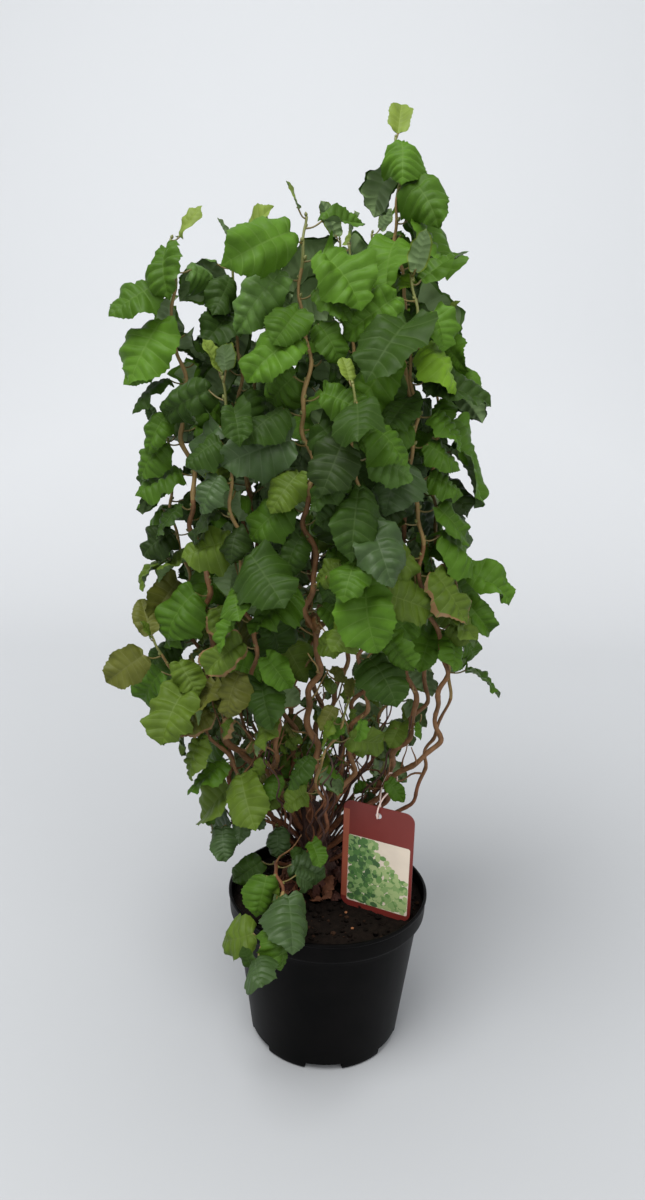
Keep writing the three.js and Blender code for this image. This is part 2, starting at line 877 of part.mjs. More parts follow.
// The twig has a ring a little past each leaf, and more where leaves are far apart
function twigRings(stem, leaves) {
  const start = stem.length * stem.shoot.bare + GAP;
  const stops = leaves.map((leaf, i) => {
    const next = i + 1 < leaves.length ? leaves[i + 1].distance : stem.length;
    return leaf.distance + (next - leaf.distance) * RING_PAST_LEAF;
  });
  const rings = [start];
  for (const stop of [...stops, stem.length]) {
    const last = rings[rings.length - 1];
    if (stop > last + 1) rings.push(...evenly(last, stop, TWIG_RING_STEP).slice(1));
  }
  return rings;
}

// The place on a line of rings at a distance along it, which is on the axis of the solid between them
function onRings(stem, rings, distance) {
  const after = Math.max(1, rings.findIndex((ring) => ring >= distance));
  const [low, high] = [rings[after - 1], rings[after]];
  const from = alongStem(stem, low / stem.length);
  return from.lerp(alongStem(stem, high / stem.length), (distance - low) / (high - low));
}

function massSolid(stem, leaves) {
  const rings = twigRings(stem, leaves);
  let made = stretch(stem, rings, TWIG_SIDES);
  for (const leaf of leaves) {
    const rooting = STALK_ROOTING * radiusAt(stem.shoot, leaf.distance / stem.length);
    made = made.add(leafSolid({ ...leaf, rooting, root: onRings(stem, rings, leaf.distance) }));
  }
  return made;
}

function boughSolid(stem) {
  const rings = evenly(stubLength(stem) + GAP, stem.length * stem.shoot.bare, BOUGH_RING_STEP);
  return stretch(stem, rings, BOUGH_SIDES);
}

// The stump is lobed like the stems grown together in it, and flares at the soil
function trunkSolid(stems) {
  const rings = [];
  TRUNK_RING_HEIGHTS.forEach((height) => {
    const share = height / TRUNK_HEIGHT;
    const flare = (TRUNK_FOOT_RADIUS - TRUNK_WAIST_RADIUS) * (1 - share) ** TRUNK_FLARE_POWER;
    for (let k = 0; k < TRUNK_SIDES; k++) {
      const turn = (k / TRUNK_SIDES) * Math.PI * 2;
      const wide = WIDE_LOBES * Math.sin(3 * turn + 4 * share);
      const lobes = 1 + wide + NARROW_LOBES * Math.sin(5 * turn + 1);
      const outward = new THREE.Vector3(Math.cos(turn), Math.sin(turn), 0);
      rings.push(trunkAxis(height).addScaledVector(outward, (TRUNK_WAIST_RADIUS + flare) * lobes));
    }
  });
  let made = solid(closedGeometry(rings, tubeFaces(TRUNK_RING_HEIGHTS.length, TRUNK_SIDES)));
  for (const stem of stems) made = made.add(stretch(stem, [0, stubLength(stem)], BOUGH_SIDES));
  return made;
}

// Pot: a thin tapering wall with a wider collar, a flat floor and slots round the foot for water
function potSolid() {
  const under = POT_HEIGHT - COLLAR_DEPTH;
  const wallTop = RIM_RADIUS - COLLAR_LEAN - COLLAR_STEP;
  const outline = [
    [0, 0],
    [FOOT_RADIUS - FOOT_CHAMFER, 0],
    [FOOT_RADIUS, FOOT_CHAMFER],
    [wallTop, under],
    [RIM_RADIUS - COLLAR_LEAN, under + COLLAR_SLOPE],
    [RIM_RADIUS - RIM_LIP, POT_HEIGHT - RIM_BAND - RIM_LIP],
    [RIM_RADIUS, POT_HEIGHT - RIM_BAND],
    [RIM_RADIUS, POT_HEIGHT],
    [RIM_RADIUS - RIM_LIP - POT_WALL, POT_HEIGHT],
    [RIM_RADIUS - COLLAR_LEAN - POT_WALL, under + COLLAR_FILLET],
    [wallTop - POT_WALL, under],
    [FOOT_RADIUS - POT_WALL, POT_FLOOR],
    [0, POT_FLOOR],
  ];
  const profile = outline.map(([x, y]) => new THREE.Vector2(x, y));
  // LatheGeometry turns about Y, and the pot stands on Z
  let made = solid(new THREE.LatheGeometry(profile, POT_SIDES).rotateX(Math.PI / 2));
  for (let i = 0; i < DRAIN_SLOTS; i++) {
    const middle = ((i + 0.5) / DRAIN_SLOTS) * Math.PI * 2;
    const sector = new THREE.Shape();
    const from = middle - DRAIN_SLOT_ARC / 2;
    const to = middle + DRAIN_SLOT_ARC / 2;
    sector.absarc(0, 0, FOOT_RADIUS + 10, from, to, false);
    sector.absarc(0, 0, FOOT_RADIUS - DRAIN_SLOT_REACH, to, from, true);
    const size = { depth: DRAIN_SLOT_HEIGHT + 2, bevelEnabled: false, curveSegments: 2 };
    made = made.subtract(solid(new THREE.ExtrudeGeometry(sector, size).translate(0, 0, -2)));
  }
  return made;
}

function soilSolid() {
  const under = POT_HEIGHT - COLLAR_DEPTH;
  const wallTop = RIM_RADIUS - COLLAR_LEAN - COLLAR_STEP - POT_WALL;
  const collarInside = RIM_RADIUS - COLLAR_LEAN - POT_WALL;
  const inner = FOOT_RADIUS - POT_WALL;
  const soilFloor = DRAIN_SLOT_HEIGHT + 1;
  const foot = inner + ((wallTop - inner) * (soilFloor - POT_FLOOR)) / (under - POT_FLOOR);
  const outline = [
    [0, POT_FLOOR + GAP],
    [FOOT_RADIUS - DRAIN_SLOT_REACH - 1, POT_FLOOR + GAP],
    [foot - GAP * 2, soilFloor],
    [wallTop - GAP * 2, under],
    [collarInside - GAP * 2, under + COLLAR_FILLET],
    [collarInside - GAP * 1.5, SOIL_TOP],
    [0, SOIL_TOP],
  ];
  const profile = outline.map(([x, y]) => new THREE.Vector2(x, y));
  return solid(new THREE.LatheGeometry(profile, POT_SIDES).rotateX(Math.PI / 2));
}

// A thin plate with round corners and a hole, standing in the XZ plane
function labelPlate() {
  const w = LABEL_WIDTH / 2 - LABEL_CORNER;
  const low = LABEL_CORNER;
  const high = LABEL_HEIGHT - LABEL_CORNER;
  const plate = new THREE.Shape();
  plate.absarc(w, low, LABEL_CORNER, -Math.PI / 2, 0, false);
  plate.absarc(w, high, LABEL_CORNER, 0, Math.PI / 2, false);
  plate.absarc(-w, high, LABEL_CORNER, Math.PI / 2, Math.PI, false);
  plate.absarc(-w, low, LABEL_CORNER, Math.PI, Math.PI * 1.5, false);
  const hole = new THREE.Path();
  hole.absarc(0, LABEL_HEIGHT - LABEL_HOLE_DROP, LABEL_HOLE_RADIUS, 0, Math.PI * 2, true);
  plate.holes.push(hole);
  const size = { depth: LABEL_THICKNESS, bevelEnabled: false, curveSegments: 4 };
  const body = new THREE.ExtrudeGeometry(plate, size);
  return body.translate(0, 0, -LABEL_THICKNESS / 2).rotateX(Math.PI / 2);
}

function labelMesh(material) {
  const mesh = new THREE.Mesh(labelPlate(), material);
  mesh.name = "label";
  mesh.position.set(LABEL_X, LABEL_Y, SOIL_TOP + GAP);
  mesh.rotation.z = radians(LABEL_TURN);
  return mesh;
}

// The loop passes through the label's hole and over its top edge, and twists on its way back so that its
// other end lies round the stem that carries it
function loopSolid(stem) {
  const farness = (p) => Math.abs(p.z - LOOP_HOLD_HEIGHT);
  const held = stem.points.reduce((best, p, i) => (farness(p) < farness(stem.points[best]) ? i : best), 0);
  const hold = stem.points[held];
  const hole = new THREE.Vector3(LABEL_X, LABEL_Y, SOIL_TOP + GAP + LABEL_HEIGHT - LABEL_HOLE_DROP);
  const start = hole.addScaledVector(UP, LOOP_LIFT * 0.8);
  const span = hold.clone().sub(start);
  const lengthwise = span.clone().normalize();
  const aside = lengthwise.clone().cross(directionAt(stem, held / (stem.points.length - 1))).normalize();
  const behind = stem.radii[held] * LOOP_ROOM + LOOP_THICKNESS * 2;
  const wide = stem.radii[held] * LOOP_ROOM + LOOP_THICKNESS;
  const half = (span.length() + LOOP_FRONT + behind) / 2;
  const middle = start.clone().addScaledVector(lengthwise, half - LOOP_FRONT);
  const points = [];
  const planes = [];
  for (let i = 0; i < LOOP_TURNS; i++) {
    const turn = (i / LOOP_TURNS) * Math.PI * 2;
    const rounded = (v) => Math.sign(v) * Math.abs(v) ** 0.5;
    const onward = rounded(Math.cos(turn));
    const level = smooth((onward + 1) / 2);
    const offset = UP.clone().multiplyScalar(1 - level).addScaledVector(aside, level).normalize();
    const reach = LOOP_LIFT + (wide - LOOP_LIFT) * level;
    points.push(
      middle
        .clone()
        .addScaledVector(lengthwise, onward * half)
        .addScaledVector(offset, rounded(Math.sin(turn)) * reach),
    );
    planes.push(lengthwise.clone().cross(offset).normalize());
  }
  return ringSolid(points, planes, LOOP_THICKNESS / 2, LOOP_SIDES);
}

// A closed ring of round section along the points, each with the normal of the plane that it bends in there
function ringSolid(points, planes, radius, sides) {
  const count = points.length;
  const vertices = [];
  points.forEach((p, i) => {
    const tangent = points[(i + 1) % count].clone().sub(points[(i + count - 1) % count]).normalize();
    const outward = tangent.clone().cross(planes[i]).normalize();
    const over = outward.clone().cross(tangent);
    for (let k = 0; k < sides; k++) {
      const turn = (k / sides) * Math.PI * 2;
      const rim = p.clone().addScaledVector(outward, Math.cos(turn) * radius);
      vertices.push(rim.addScaledVector(over, Math.sin(turn) * radius));
    }
  });
  const faces = [];
  for (let i = 0; i < count; i++) {
    for (let k = 0; k < sides; k++) {
      const a = i * sides + k;
      const b = i * sides + ((k + 1) % sides);
      const c = ((i + 1) % count) * sides + k;
      const d = ((i + 1) % count) * sides + ((k + 1) % sides);
      faces.push([a, d, b], [a, c, d]);
    }
  }
  return solid(closedGeometry(vertices, faces));
}

const finish = (color, roughness) => new THREE.MeshStandardMaterial({ color, roughness });
const materials = {
  pot: finish(0x141416, 0.5),
  soil: finish(0x1d1612, 0.95),
  bark: finish(0x5a4030, 0.8),
  foliage: finish(0x35601f, 0.55),
  label: finish(0x8f2f2c, 0.35),
  loop: finish(0xd9b8ae, 0.4),
};

function named(name, geometry, material) {
  const mesh = new THREE.Mesh(geometry, material);
  mesh.name = name;
  return mesh;
}

const plant = new THREE.Group();
const stems = SHOOTS.map(stemOf);
const placed = [];
plant.add(named("pot", geometryOf(potSolid()), materials.pot));
plant.add(named("soil", geometryOf(soilSolid()), materials.soil));
plant.add(named("trunk", geometryOf(trunkSolid(stems)), materials.bark));
for (const stem of stems) {
  plant.add(named(stem.shoot.name + "_bough", geometryOf(boughSolid(stem)), materials.bark));
  const leaves = leavesOf(stem, stems, placed);
  plant.add(named(stem.shoot.name + "_leaves", geometryOf(massSolid(stem, leaves)), materials.foliage));
}
plant.add(labelMesh(materials.label));
const loopStem = stems.find((stem) => stem.shoot.name === LOOP_STEM);
plant.add(named("label_loop", geometryOf(loopSolid(loopStem)), materials.loop));

export default plant;
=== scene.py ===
# A young corkscrew hazel in a black nursery pot, drawn finely round the plain solids of its part.
# Sizes are in millimetres, as in the part, and meshes are made in metres. A pair of numbers that is drawn
# from is the least value and what chance may add to it.

import math
from collections import namedtuple
from functools import cache

import bpy
import numpy as np
from mathutils import Matrix, Vector
from mathutils.kdtree import KDTree


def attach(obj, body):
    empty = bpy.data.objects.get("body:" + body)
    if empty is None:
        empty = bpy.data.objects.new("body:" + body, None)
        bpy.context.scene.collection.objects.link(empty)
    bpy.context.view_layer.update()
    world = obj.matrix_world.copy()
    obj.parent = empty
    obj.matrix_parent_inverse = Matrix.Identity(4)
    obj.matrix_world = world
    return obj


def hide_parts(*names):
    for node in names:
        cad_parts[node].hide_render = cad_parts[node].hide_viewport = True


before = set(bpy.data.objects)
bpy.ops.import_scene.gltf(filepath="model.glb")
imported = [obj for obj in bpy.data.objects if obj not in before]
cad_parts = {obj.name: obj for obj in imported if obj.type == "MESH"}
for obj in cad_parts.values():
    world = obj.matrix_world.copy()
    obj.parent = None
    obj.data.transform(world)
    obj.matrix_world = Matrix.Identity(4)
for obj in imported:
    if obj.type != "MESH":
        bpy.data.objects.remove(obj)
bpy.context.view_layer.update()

MM = 0.001

# Pot. The edges of its foot, collar and rim are steps out and up from the foot, the wall's top and the rim.
POT_HEIGHT = 148
RIM_RADIUS = 95
FOOT_RADIUS = 72
FOOT_CHAMFER = 3
POT_WALL = 1.6
POT_FLOOR = 2.4
WALL_TOP = 88
COLLAR_UNDER = 127
FOOT_STEPS = [(-FOOT_CHAMFER, 0), (-1.5, 0.4), (-0.4, 1.5), (0, FOOT_CHAMFER)]
COLLAR_STEPS = [(0, -0.4), (0.5, 0.4), (4.6, 1.4)]
RIM_STEPS = [(-1.6, -18.6), (-1.4, -17), (-1.1, -10), (-0.9, -4), (-0.2, -3.2), (0, -2.4), (0, -1)]
RIM_STEPS += [(-0.5, -0.2), (-1.2, 0), (-2, -0.1), (-2.6, -0.7), (-3, -4), (-3.1, -17)]
DRAIN_SLOTS = 6
DRAIN_SLOT_ARC = 0.5
DRAIN_SLOT_HEIGHT = 7
DRAIN_SLOT_REACH = 12
SLOT_STRIPS = 6
WALL_STRIPS = 18
WALL_RING_STEP = 6
SHARP_ANGLE = 35
MIDDLE_RADIUS = 0.5

# Soil, with crumbs, chips and dead leaves on it
SOIL_TOP = 136
GAP = 0.3
SOIL_RADIUS = 91.4
SOIL_UNDER = [(0.5, POT_FLOOR + 1), (58, POT_FLOOR + 1), (70, 9), (82.8, 126), (SOIL_RADIUS, 131)]
SOIL_SIDES = 120
SOIL_RINGS = 40
SOIL_INNER_RADIUS = 4
SOIL_EDGE = 6
SOIL_SINK = 0.8
SOIL_WAVES = 9
SOIL_WAVE_LENGTH = 26
SOIL_WAVE_HEIGHT = 0.55
SOIL_WAVE_TURN = 2.4
SOIL_WAVE_SHORTENING = 0.55
SOIL_WAVE_LOWERING = 0.45
SOIL_ROUGHNESS = 0.5
SOIL_SEED = 5
CRUMBS = 420
CRUMB_SIZE = (0.8, 2.4)
CRUMB_LIFT = 0.6
CRUMB_ROWS = 5
CRUMB_SIDES = 6
BROWN_CRUMBS = 0.22
CHIPS = 0.03
LITTER = 64
LITTER_SEED = 77
LITTER_REACH = (19, 20)
LITTER_RISE = (2.5, 30)
LITTER_LENGTH = (13, 12)
LOWEST_LITTER = 0.8
PALE_LITTER = 0.4

# Trunk. Each wave in its skin is its size, its crests round the trunk, its turn with height and its start.
TRUNK_X = -14
TRUNK_Y = 28
TRUNK_LEAN_X = -3
TRUNK_HEIGHT = 82
TRUNK_FOOT_RADIUS = 25
TRUNK_WAIST_RADIUS = 13.5
TRUNK_FLARE_POWER = 3.2
TRUNK_SIDES = 96
TRUNK_RINGS = 48
TRUNK_WAVES = [(0.09, 3, 4, 0), (0.06, 5, 0, 1), (0.035, 17, 9, 0), (0.025, 29, -14, 0)]
TRUNK_ROOTS = 0.1
TRUNK_WRINKLES = 0.02
TRUNK_DOME = 0.1

# Stems
ROOT_INSET = 5
SHOULDER_REACH = 15
SHOULDER_LIFT = 5
SHOULDER_LIFT_SHARE = 0.22
STEM_STEP = 4
STEM_TIP_RADIUS = 1.1
STEM_TAPER = 0.8
WAVE_LENGTH = 92
WAVE_SIZE = 7
WAVE_WANDER = 0.9
WANDER_LENGTH = 71
WAVE_LIFT_SHARE = 0.4
KINK_LENGTH = 37
KINK_SIZE = 2.6
STRAIGHT_LENGTH = 22
WAVE_GROWTH = 50
TIP_CALM = 0.62
FINE_STEP = 2.4
FINE_SIDES = 12
THIN_SIDES = 6
BARK_SHARE = 0.88
OLD_RIDGES = (13, 12)
LOWEST_RIDGE = 30
RIDGE_HEIGHT = 0.16
RIDGE_WIDTH = 1.9
YOUNG_BARK_SHARE = 0.62
GREEN_BARK_SHARE = 0.93
OLD_BARK_HEIGHT = 250
BUD_SIZE = (2.4, 1.6)
BUD_LIFT = 1.2
BUD_STATIONS = [0, 0.25, 0.55, 0.85, 1]
BUD_RADII = [0.3, 0.42, 0.4, 0.2, 0.04]

# Leaves
LEAF_LENGTH = 48
BLADE_DIP = (12, 38)
SIZE_RANGE = (0.7, 0.6)
LEAFLESS_SHARE = 0.03
LOW_LEAVES = 220
LEAFY_HEIGHT = 480
LOW_VIGOUR = 0.72
TOP_VIGOUR = 0.44
TIP_INSET = 1.5
LAST_GAP_SHARE = 1.3
YOUNG_LENGTH = 14
YOUNG_SHRINK = 0.4
YOUNG_STALK_SHRINK = 0.5
YOUNG_STALK_RISE = 30
YOUNG_BLADE_RISE = 40
YOUNG_STIFFNESS = 0.7
ANGLE_SPREAD = 50
STALK_LENGTH = 15
STALK_LENGTH_RANGE = (0.7, 0.5)
STALK_RISE = (10, 35)
STALK_SQUARING = 0.5
LOW_NODE_SPACING = 13.5
TOP_NODE_SPACING = 12.4
OUTWARD_REACH = 120
MOST_OUTWARD = 0.45
FRONT_HALF_DEPTH = 80
FACE_OUTWARD = 0.4
FACE_FORWARD = 0.85
FACE_UPWARD = 0.72
FACE_SPREAD = 1.1
TURNS_TO_TRY = [0, 24, -24, 48, -48, 75, -75]
SIZES_TO_TRY = [1, 0.78]
SAME_PLACE = 0.02

# Each kind of leaf: its width as a share of its length, its droop, twist and fold in degrees, and its curl
LeafKind = namedtuple("LeafKind", "width droop twist fold curl")
CROWN_LEAF = LeafKind(width=(0.836, 0.19), droop=(20, 55), twist=80, fold=(6, 24), curl=(0.1, 0.3))
SMALL_LEAF = LeafKind(width=(0.8, 0.2), droop=(15, 60), twist=90, fold=(8, 30), curl=(0.1, 0.3))
DEAD_LEAF = LeafKind(width=0.8, droop=(45.84, 80.21), twist=91.67, fold=(17.19, 28.65), curl=0.3)

# Lines across a fine blade, from the midrib to the margin: each is its place among the side veins, the side
# of the vein that it borders or 0, and how far its tooth reaches
FIRST_LINE = 0.3
BASE_LINES = [(FIRST_LINE, 0, 0.0), (0.65, 0, 0.03)]
VEIN_LINES = [(0, -1, 0.05), (0, 1, 0.045), (0.25, 0, -0.03), (0.5, 0, 0.015), (0.75, 0, -0.035)]
VEIN_HALF_WIDTH = 0.065
VEIN_NARROWING = 0.045
LARGE_VEINS = 7
LARGE_STATIONS = [0.03, 0.32, 0.6, 0.86, 1]
SMALL_VEINS = 5
SMALL_STATIONS = [0.04, 0.62, 1]

# Fine blades. Heights are for a blade of SCALE_LENGTH. LOBES, WAVES and RIPPLES are each the size of a wave
# round the margin and the number of its crests.
SCALE_LENGTH = 50
BLADE_THICKNESS = 0.4
RIB_DEPTH = 0.35
BLADE_SHARE = 0.97
HALF_WIDTH = 0.485
TOOTH_REACH = (0.35, 0.9)
LOBES = ((0.03, 0.07), (2, 2))
WAVES = ((2.4, 4), (0.9, 1.1))
RIPPLES = ((1.2, 2.2), (2.8, 2.4))
MARGIN_BEND = 22
MARGIN_BEND_DOWN = 0.58
PUFF_HEIGHT = (1.4, 2.6)
PUFF_UNEVENNESS = (0.75, 0.5)
CRUMPLES = 3
CRUMPLE_CRESTS = (1.2, 1.6)
CRUMPLE_HEIGHT = (0.5, 1.1)
MORE_FOLD = 18
MORE_CURL = (0.12, 0.5)
YOUNG_LIFT = 1.4
YOUNG_SHORTER = 0.25
YOUNG_NARROWER = 0.5
YOUNG_SMOOTHER = 0.6
STALK_RADII = [0.95, 0.8, 0.7, 0.68, 0.7, 0.78, 0.85, 0.4]
STALK_SAG = (1.2, 1.5)
THINNEST_STALK = 0.3

# Side twigs, finer than the part shows, with small leaves, of which there are more at the left
TWIG_RADIUS = 1.15
TWIG_TIP_RADIUS = 0.5
TWIG_STEP = 4
LOWEST_TWIG = 40
HIGHEST_TWIG = 0.12
TWIG_REACH = 105
BESIDE_POT = 2
ABOVE_POT = 4
TWIG_SPACING = (13, 20)
TWIG_LENGTH = (16, 44)
TWIG_RISE = (0.2, 0.9)
TWIG_BEND = (0.25, 0.35)
TWIG_COIL = 0.9
TWIG_LIFT = 0.25
YOUNG_TWIG_HEIGHT = 300
SMALL_LENGTH = (14, 13)
SMALL_STALK = (3, 4)
SMALL_DIP = (20, 45)
LEAFY_TWIGS = 0.8
BARE_TWIGS = 0.35
LEAFY_LEFT_OF = 10

# Suckers round the stump
SUCKERS = 44
SUCKER_SEED = 19
SUCKER_RADIUS = 1.5
SUCKER_THICKNESS = (0.7, 0.6)
SUCKER_LENGTH = (60, 120)
SUCKER_FOOT = (6, 60)
SUCKER_TURN = 137.5
SUCKER_SPREAD = 30
SUCKER_INSET = 2
SUCKER_WAVE = 44
SUCKER_SWAY = 3.4
SUCKER_SHOULDER = 8
SUCKER_LEAN = (0.1, 0.5)
BROWN_SUCKERS = 0.4

# Label. Its picture is a pale ground with leafy blobs on it, fewer at the top right.
LABEL_WIDTH = 70
LABEL_HEIGHT = 108
LABEL_THICKNESS = 0.8
LABEL_CORNER = 9
LABEL_TURN = -26
LABEL_X = 44
LABEL_Y = -27
LABEL_HOLE_DROP = 9
LABEL_HOLE_RADIUS = 3
LABEL_HOLE_SIDES = 24
LABEL_CLEARANCE = 14
LABEL_SIDE_CLEARANCE = 6
LABEL_CLEAR_HEIGHT = 268
LABEL_STRIP_WIDTH = 6
LABEL_STRIP_INSET = 3.4
PRINT_HEIGHT = 0.03
PICTURE_WIDTH = 61
PICTURE_SHIFT = 1.6
PICTURE_LOW = 6
PICTURE_HIGH = 74
PICTURE_MARGIN = 0.3
PICTURE_SEED = 12
BLOBS = 800
BLOB_X = (-27, 58)
BLOB_Z = (8, 64)
BLOB_LENGTH = (3.4, 5.2)
BLOB_WIDTH_SHARE = 0.36
BLOB_SIDES = 7
BLOB_TINTS = ["label_shade", "label_green", "label_leaf", "label_soft", "label_light"]
FIRST_BLOB_HEIGHT = 0.05
BLOB_HEIGHT_STEP = 0.0003

# The label's loop
LOOP_THICKNESS = 1.5
LOOP_HOLD_HEIGHT = 257
LOOP_STEM = "right_front_leader"
LOOP_LIFT = 6.3
LOOP_START_LIFT = 0.8
LOOP_ROOM = 1.5
LOOP_FRONT = 5
LOOP_TURNS = 120
LOOP_SIDES = 10

# Studio and camera, in metres and degrees
# Painted shade: the floor's colour by the pot, darker than far from it
STUDIO_SHADED_NEAR = (178, 180, 182)
STUDIO_FAR = (231, 233, 235)
STUDIO_ROUGHNESS = 0.9
STUDIO_SPECULAR = 0.1
NEAR_FLOOR = 0.1
FAR_FLOOR = 2.3
STUDIO_REACH = 12
STUDIO_DEPTH = 2.2
STUDIO_BEND = 0.9
STUDIO_BEND_STEPS = 12
STUDIO_HEIGHT = 4
WORLD_COLOR = (0.97, 0.98, 1.0, 1.0)
WORLD_STRENGTH = 0.58
CAMERA_PLACE = (-0.0126, -0.736, 0.603)
CAMERA_PITCH = 13.26
CAMERA_ROLL = 1.57
CAMERA_LENS = 25.5
CAMERA_SENSOR = 36

# What gives each kind of draw of a shoot its own seed: a factor of the shoot's seed, and a number added to it
STEM_SEEDS = (7919, 0)
LEAVES_SEEDS = (104729, 0)
NODE_SEED_FACTOR = 1000
TWIG_SEEDS = (53, 11)
SMALL_LEAF_SEEDS = (59, 5)
BLADE_SEEDS = (31, 7)
BARK_SEEDS = (17, 3)
ROUGH_SEED_RANGE = 1e9

# As in the part: exit is the compass angle and height at which a shoot leaves the trunk, and places are its
# elbow, belly and tip
Shoot = namedtuple("Shoot", "name exit radius places bare first drift seed open vigour", defaults=(1, 1))
SHOOTS = [Shoot(*row) for row in [
    ("left_leader", (176, 68), 3.9, [(-72, 4, 262), (-116, -2, 440), (-146, 2, 728)],
     0.25, 184, 1, 201),
    ("left_inner_leader", (150, 60), 3, [(-42, 34, 305), (-84, 44, 500), (-98, 42, 728)],
     0.3, 120, 20, 202),
    ("front_leader", (265, 62), 3.8, [(-18, -22, 350), (-26, -50, 520), (-36, -44, 738)],
     0.4, 0, 1, 272),
    ("right_tall_leader", (345, 30), 3.4, [(56, 16, 252), (62, 16, 470), (35, 12, 810)],
     0.4, 0, 3, 285),
    ("right_front_leader", (328, 46), 3.1, [(90, -10, 300), (62, -38, 510), (50, -40, 700)],
     0.46, 0, 1, 129),
    ("right_outer_leader", (10, 40), 2.8, [(78, 30, 310), (84, 22, 470), (80, 20, 668)],
     0.44, 0, 14, 230),
    ("middle_leader", (20, 72), 3, [(4, 42, 310), (14, 50, 500), (-1, 50, 733)],
     0.42, 60, 26, 289),
    ("back_left_leader", (128, 44), 3.2, [(-50, 74, 300), (-84, 90, 500), (-66, 62, 736)],
     0.34, 150, 26, 150),
    ("back_leader", (95, 66), 3.3, [(-18, 84, 310), (-22, 124, 500), (-8, 106, 748)],
     0.36, 90, 26, 53),
    ("back_right_leader", (60, 38), 3, [(26, 76, 300), (58, 102, 480), (26, 86, 750)],
     0.38, 20, 26, 256),
    ("front_left_leader", (222, 50), 2.9, [(-52, -14, 300), (-76, -52, 430), (-92, -58, 618)],
     0.27, 230, 20, 265),
    ("front_right_leader", (296, 50), 2.9, [(18, -26, 300), (24, -70, 430), (4, -84, 614)],
     0.48, 300, 20, 142),
    ("left_short_leader", (180, 28), 2.8, [(-98, 22, 258), (-132, 26, 400), (-156, 20, 572)],
     0.36, 180, 8, 178),
    ("left_twisted_shoot", (158, 40), 2.5, [(-66, 44, 240), (-98, 54, 330), (-116, 50, 462)],
     0.36, 150, 20, 39),
    ("right_low_shoot", (350, 16), 2.4, [(88, 10, 266), (104, 6, 356), (104, 0, 474)],
     0.66, 0, 20, 194, 1, 1.15),
    ("low_front_shoot", (278, 22), 2.3, [(-8, -24, 222), (-8, -46, 290), (10, -52, 352)],
     0.55, 180, 10, 328, 1.4),
    ("low_left_shoot", (196, 40), 2.6, [(-80, -8, 250), (-122, -14, 330), (-160, -22, 398)],
     0.36, 180, 20, 96, 1, 1.25),
    ("low_left_drooper", (208, 30), 2.4, [(-54, 4, 206), (-84, -2, 218), (-112, -12, 204)],
     0.4, 250, 20, 34, 1, 1.1),
    ("pot_edge_drooper", (235, 12), 2.3, [(-46, -22, 182), (-46, -70, 182), (-56, -112, 134)],
     0.3, 200, 20, 371, 1, 1.25),
    ("low_back_left_shoot", (142, 34), 2.5, [(-64, 70, 240), (-98, 92, 310), (-122, 104, 390)],
     0.36, 140, 20, 236, 1.2),
    ("low_back_right_shoot", (40, 30), 2.5, [(32, 74, 236), (56, 96, 290), (72, 108, 372)],
     0.36, 50, 20, 54, 1.2),
]]

# Leaf tints by name, each with its blade colour and its gloss. The veins of a tint are a little paler than
# its blade.
TINTS = {
    # Partly painted shade: a darker green that the zones give mostly to the middle of the crown, where shade
    # falls
    "dark": ((42, 64, 17), 0.12),
    # Painted shade: a near-black green for leaves deep inside the crown
    "shaded_deep": ((34, 50, 15), 0.12),
    # Partly painted sheen: a greyer, bluer green that stands in for the pale sheen on dark leaves, with a
    # higher gloss for real sheen
    "blue": ((52, 74, 34), 0.3),
    # Partly painted sheen: a paler grey-green that stands in for the pale sheen on dark leaves, with a higher
    # gloss for real sheen
    "grey": ((74, 88, 54), 0.36),
    "mid": ((60, 90, 20), 0.13),
    "fresh": ((71, 105, 26), 0.12),
    # Painted light: a bright yellow-green that stands in for light shining through leaves lit from behind
    "backlit_lime": ((100, 135, 33), 0.12),
    "warm": ((76, 96, 28), 0.14),
    "olive": ((82, 86, 32), 0.16),
    "bronze": ((100, 70, 38), 0.16),
    "young": ((104, 122, 46), 0.16),
    # Painted sheen: a paler, greyer green that stands in for the pale sheen on upper leaves, with some gloss
    # of its own
    "soft": ((72, 103, 38), 0.22),
}
VEIN_TONE = 190
VEIN_SHARE = 0.08
YOUNG_TINT_HEIGHT = 600
EDGED_TINTS = ("olive", "bronze", "warm")
EDGED_SHARE = 0.18

# Leaves are bright at the right top, mid green at the top, dark and bluish in the middle, olive and bronzed
# below. Partly this is the leaves' own colour and partly painted light and shade: painted light shining
# through the leaves at the right top, paler greens where light falls on the upper leaves and bounces up to
# the leaves just below the middle, painted shade in the dark middle of the crown, and painted sheen in its
# bluish greys. Each zone is the height that it starts at, the place that it lies to the right of, and the
# share of each tint in it.
ANYWHERE = -300
TINT_ZONES = [
    (560, 20, {"backlit_lime": 0.08, "fresh": 0.34, "soft": 0.14, "mid": 0.26, "dark": 0.18}),
    (690, ANYWHERE, {"mid": 0.36, "soft": 0.28, "fresh": 0.18, "dark": 0.18}),
    (580, ANYWHERE, {"mid": 0.42, "fresh": 0.14, "dark": 0.44}),
    (500, ANYWHERE, {"dark": 0.36, "mid": 0.26, "blue": 0.18, "shaded_deep": 0.12, "warm": 0.08}),
    (350, 60, {"fresh": 0.3, "mid": 0.3, "warm": 0.4}),
    (440, 0, {"warm": 0.36, "fresh": 0.24, "mid": 0.26, "dark": 0.14}),
    (440, ANYWHERE, {"dark": 0.28, "shaded_deep": 0.16, "blue": 0.12, "grey": 0.1, "mid": 0.24, "warm": 0.1}),
    (250, ANYWHERE, {"bronze": 0.02, "warm": 0.42, "mid": 0.2, "olive": 0.18, "fresh": 0.12, "dark": 0.06}),
    (0, ANYWHERE, {"mid": 0.42, "blue": 0.26, "dark": 0.2, "warm": 0.12}),
]

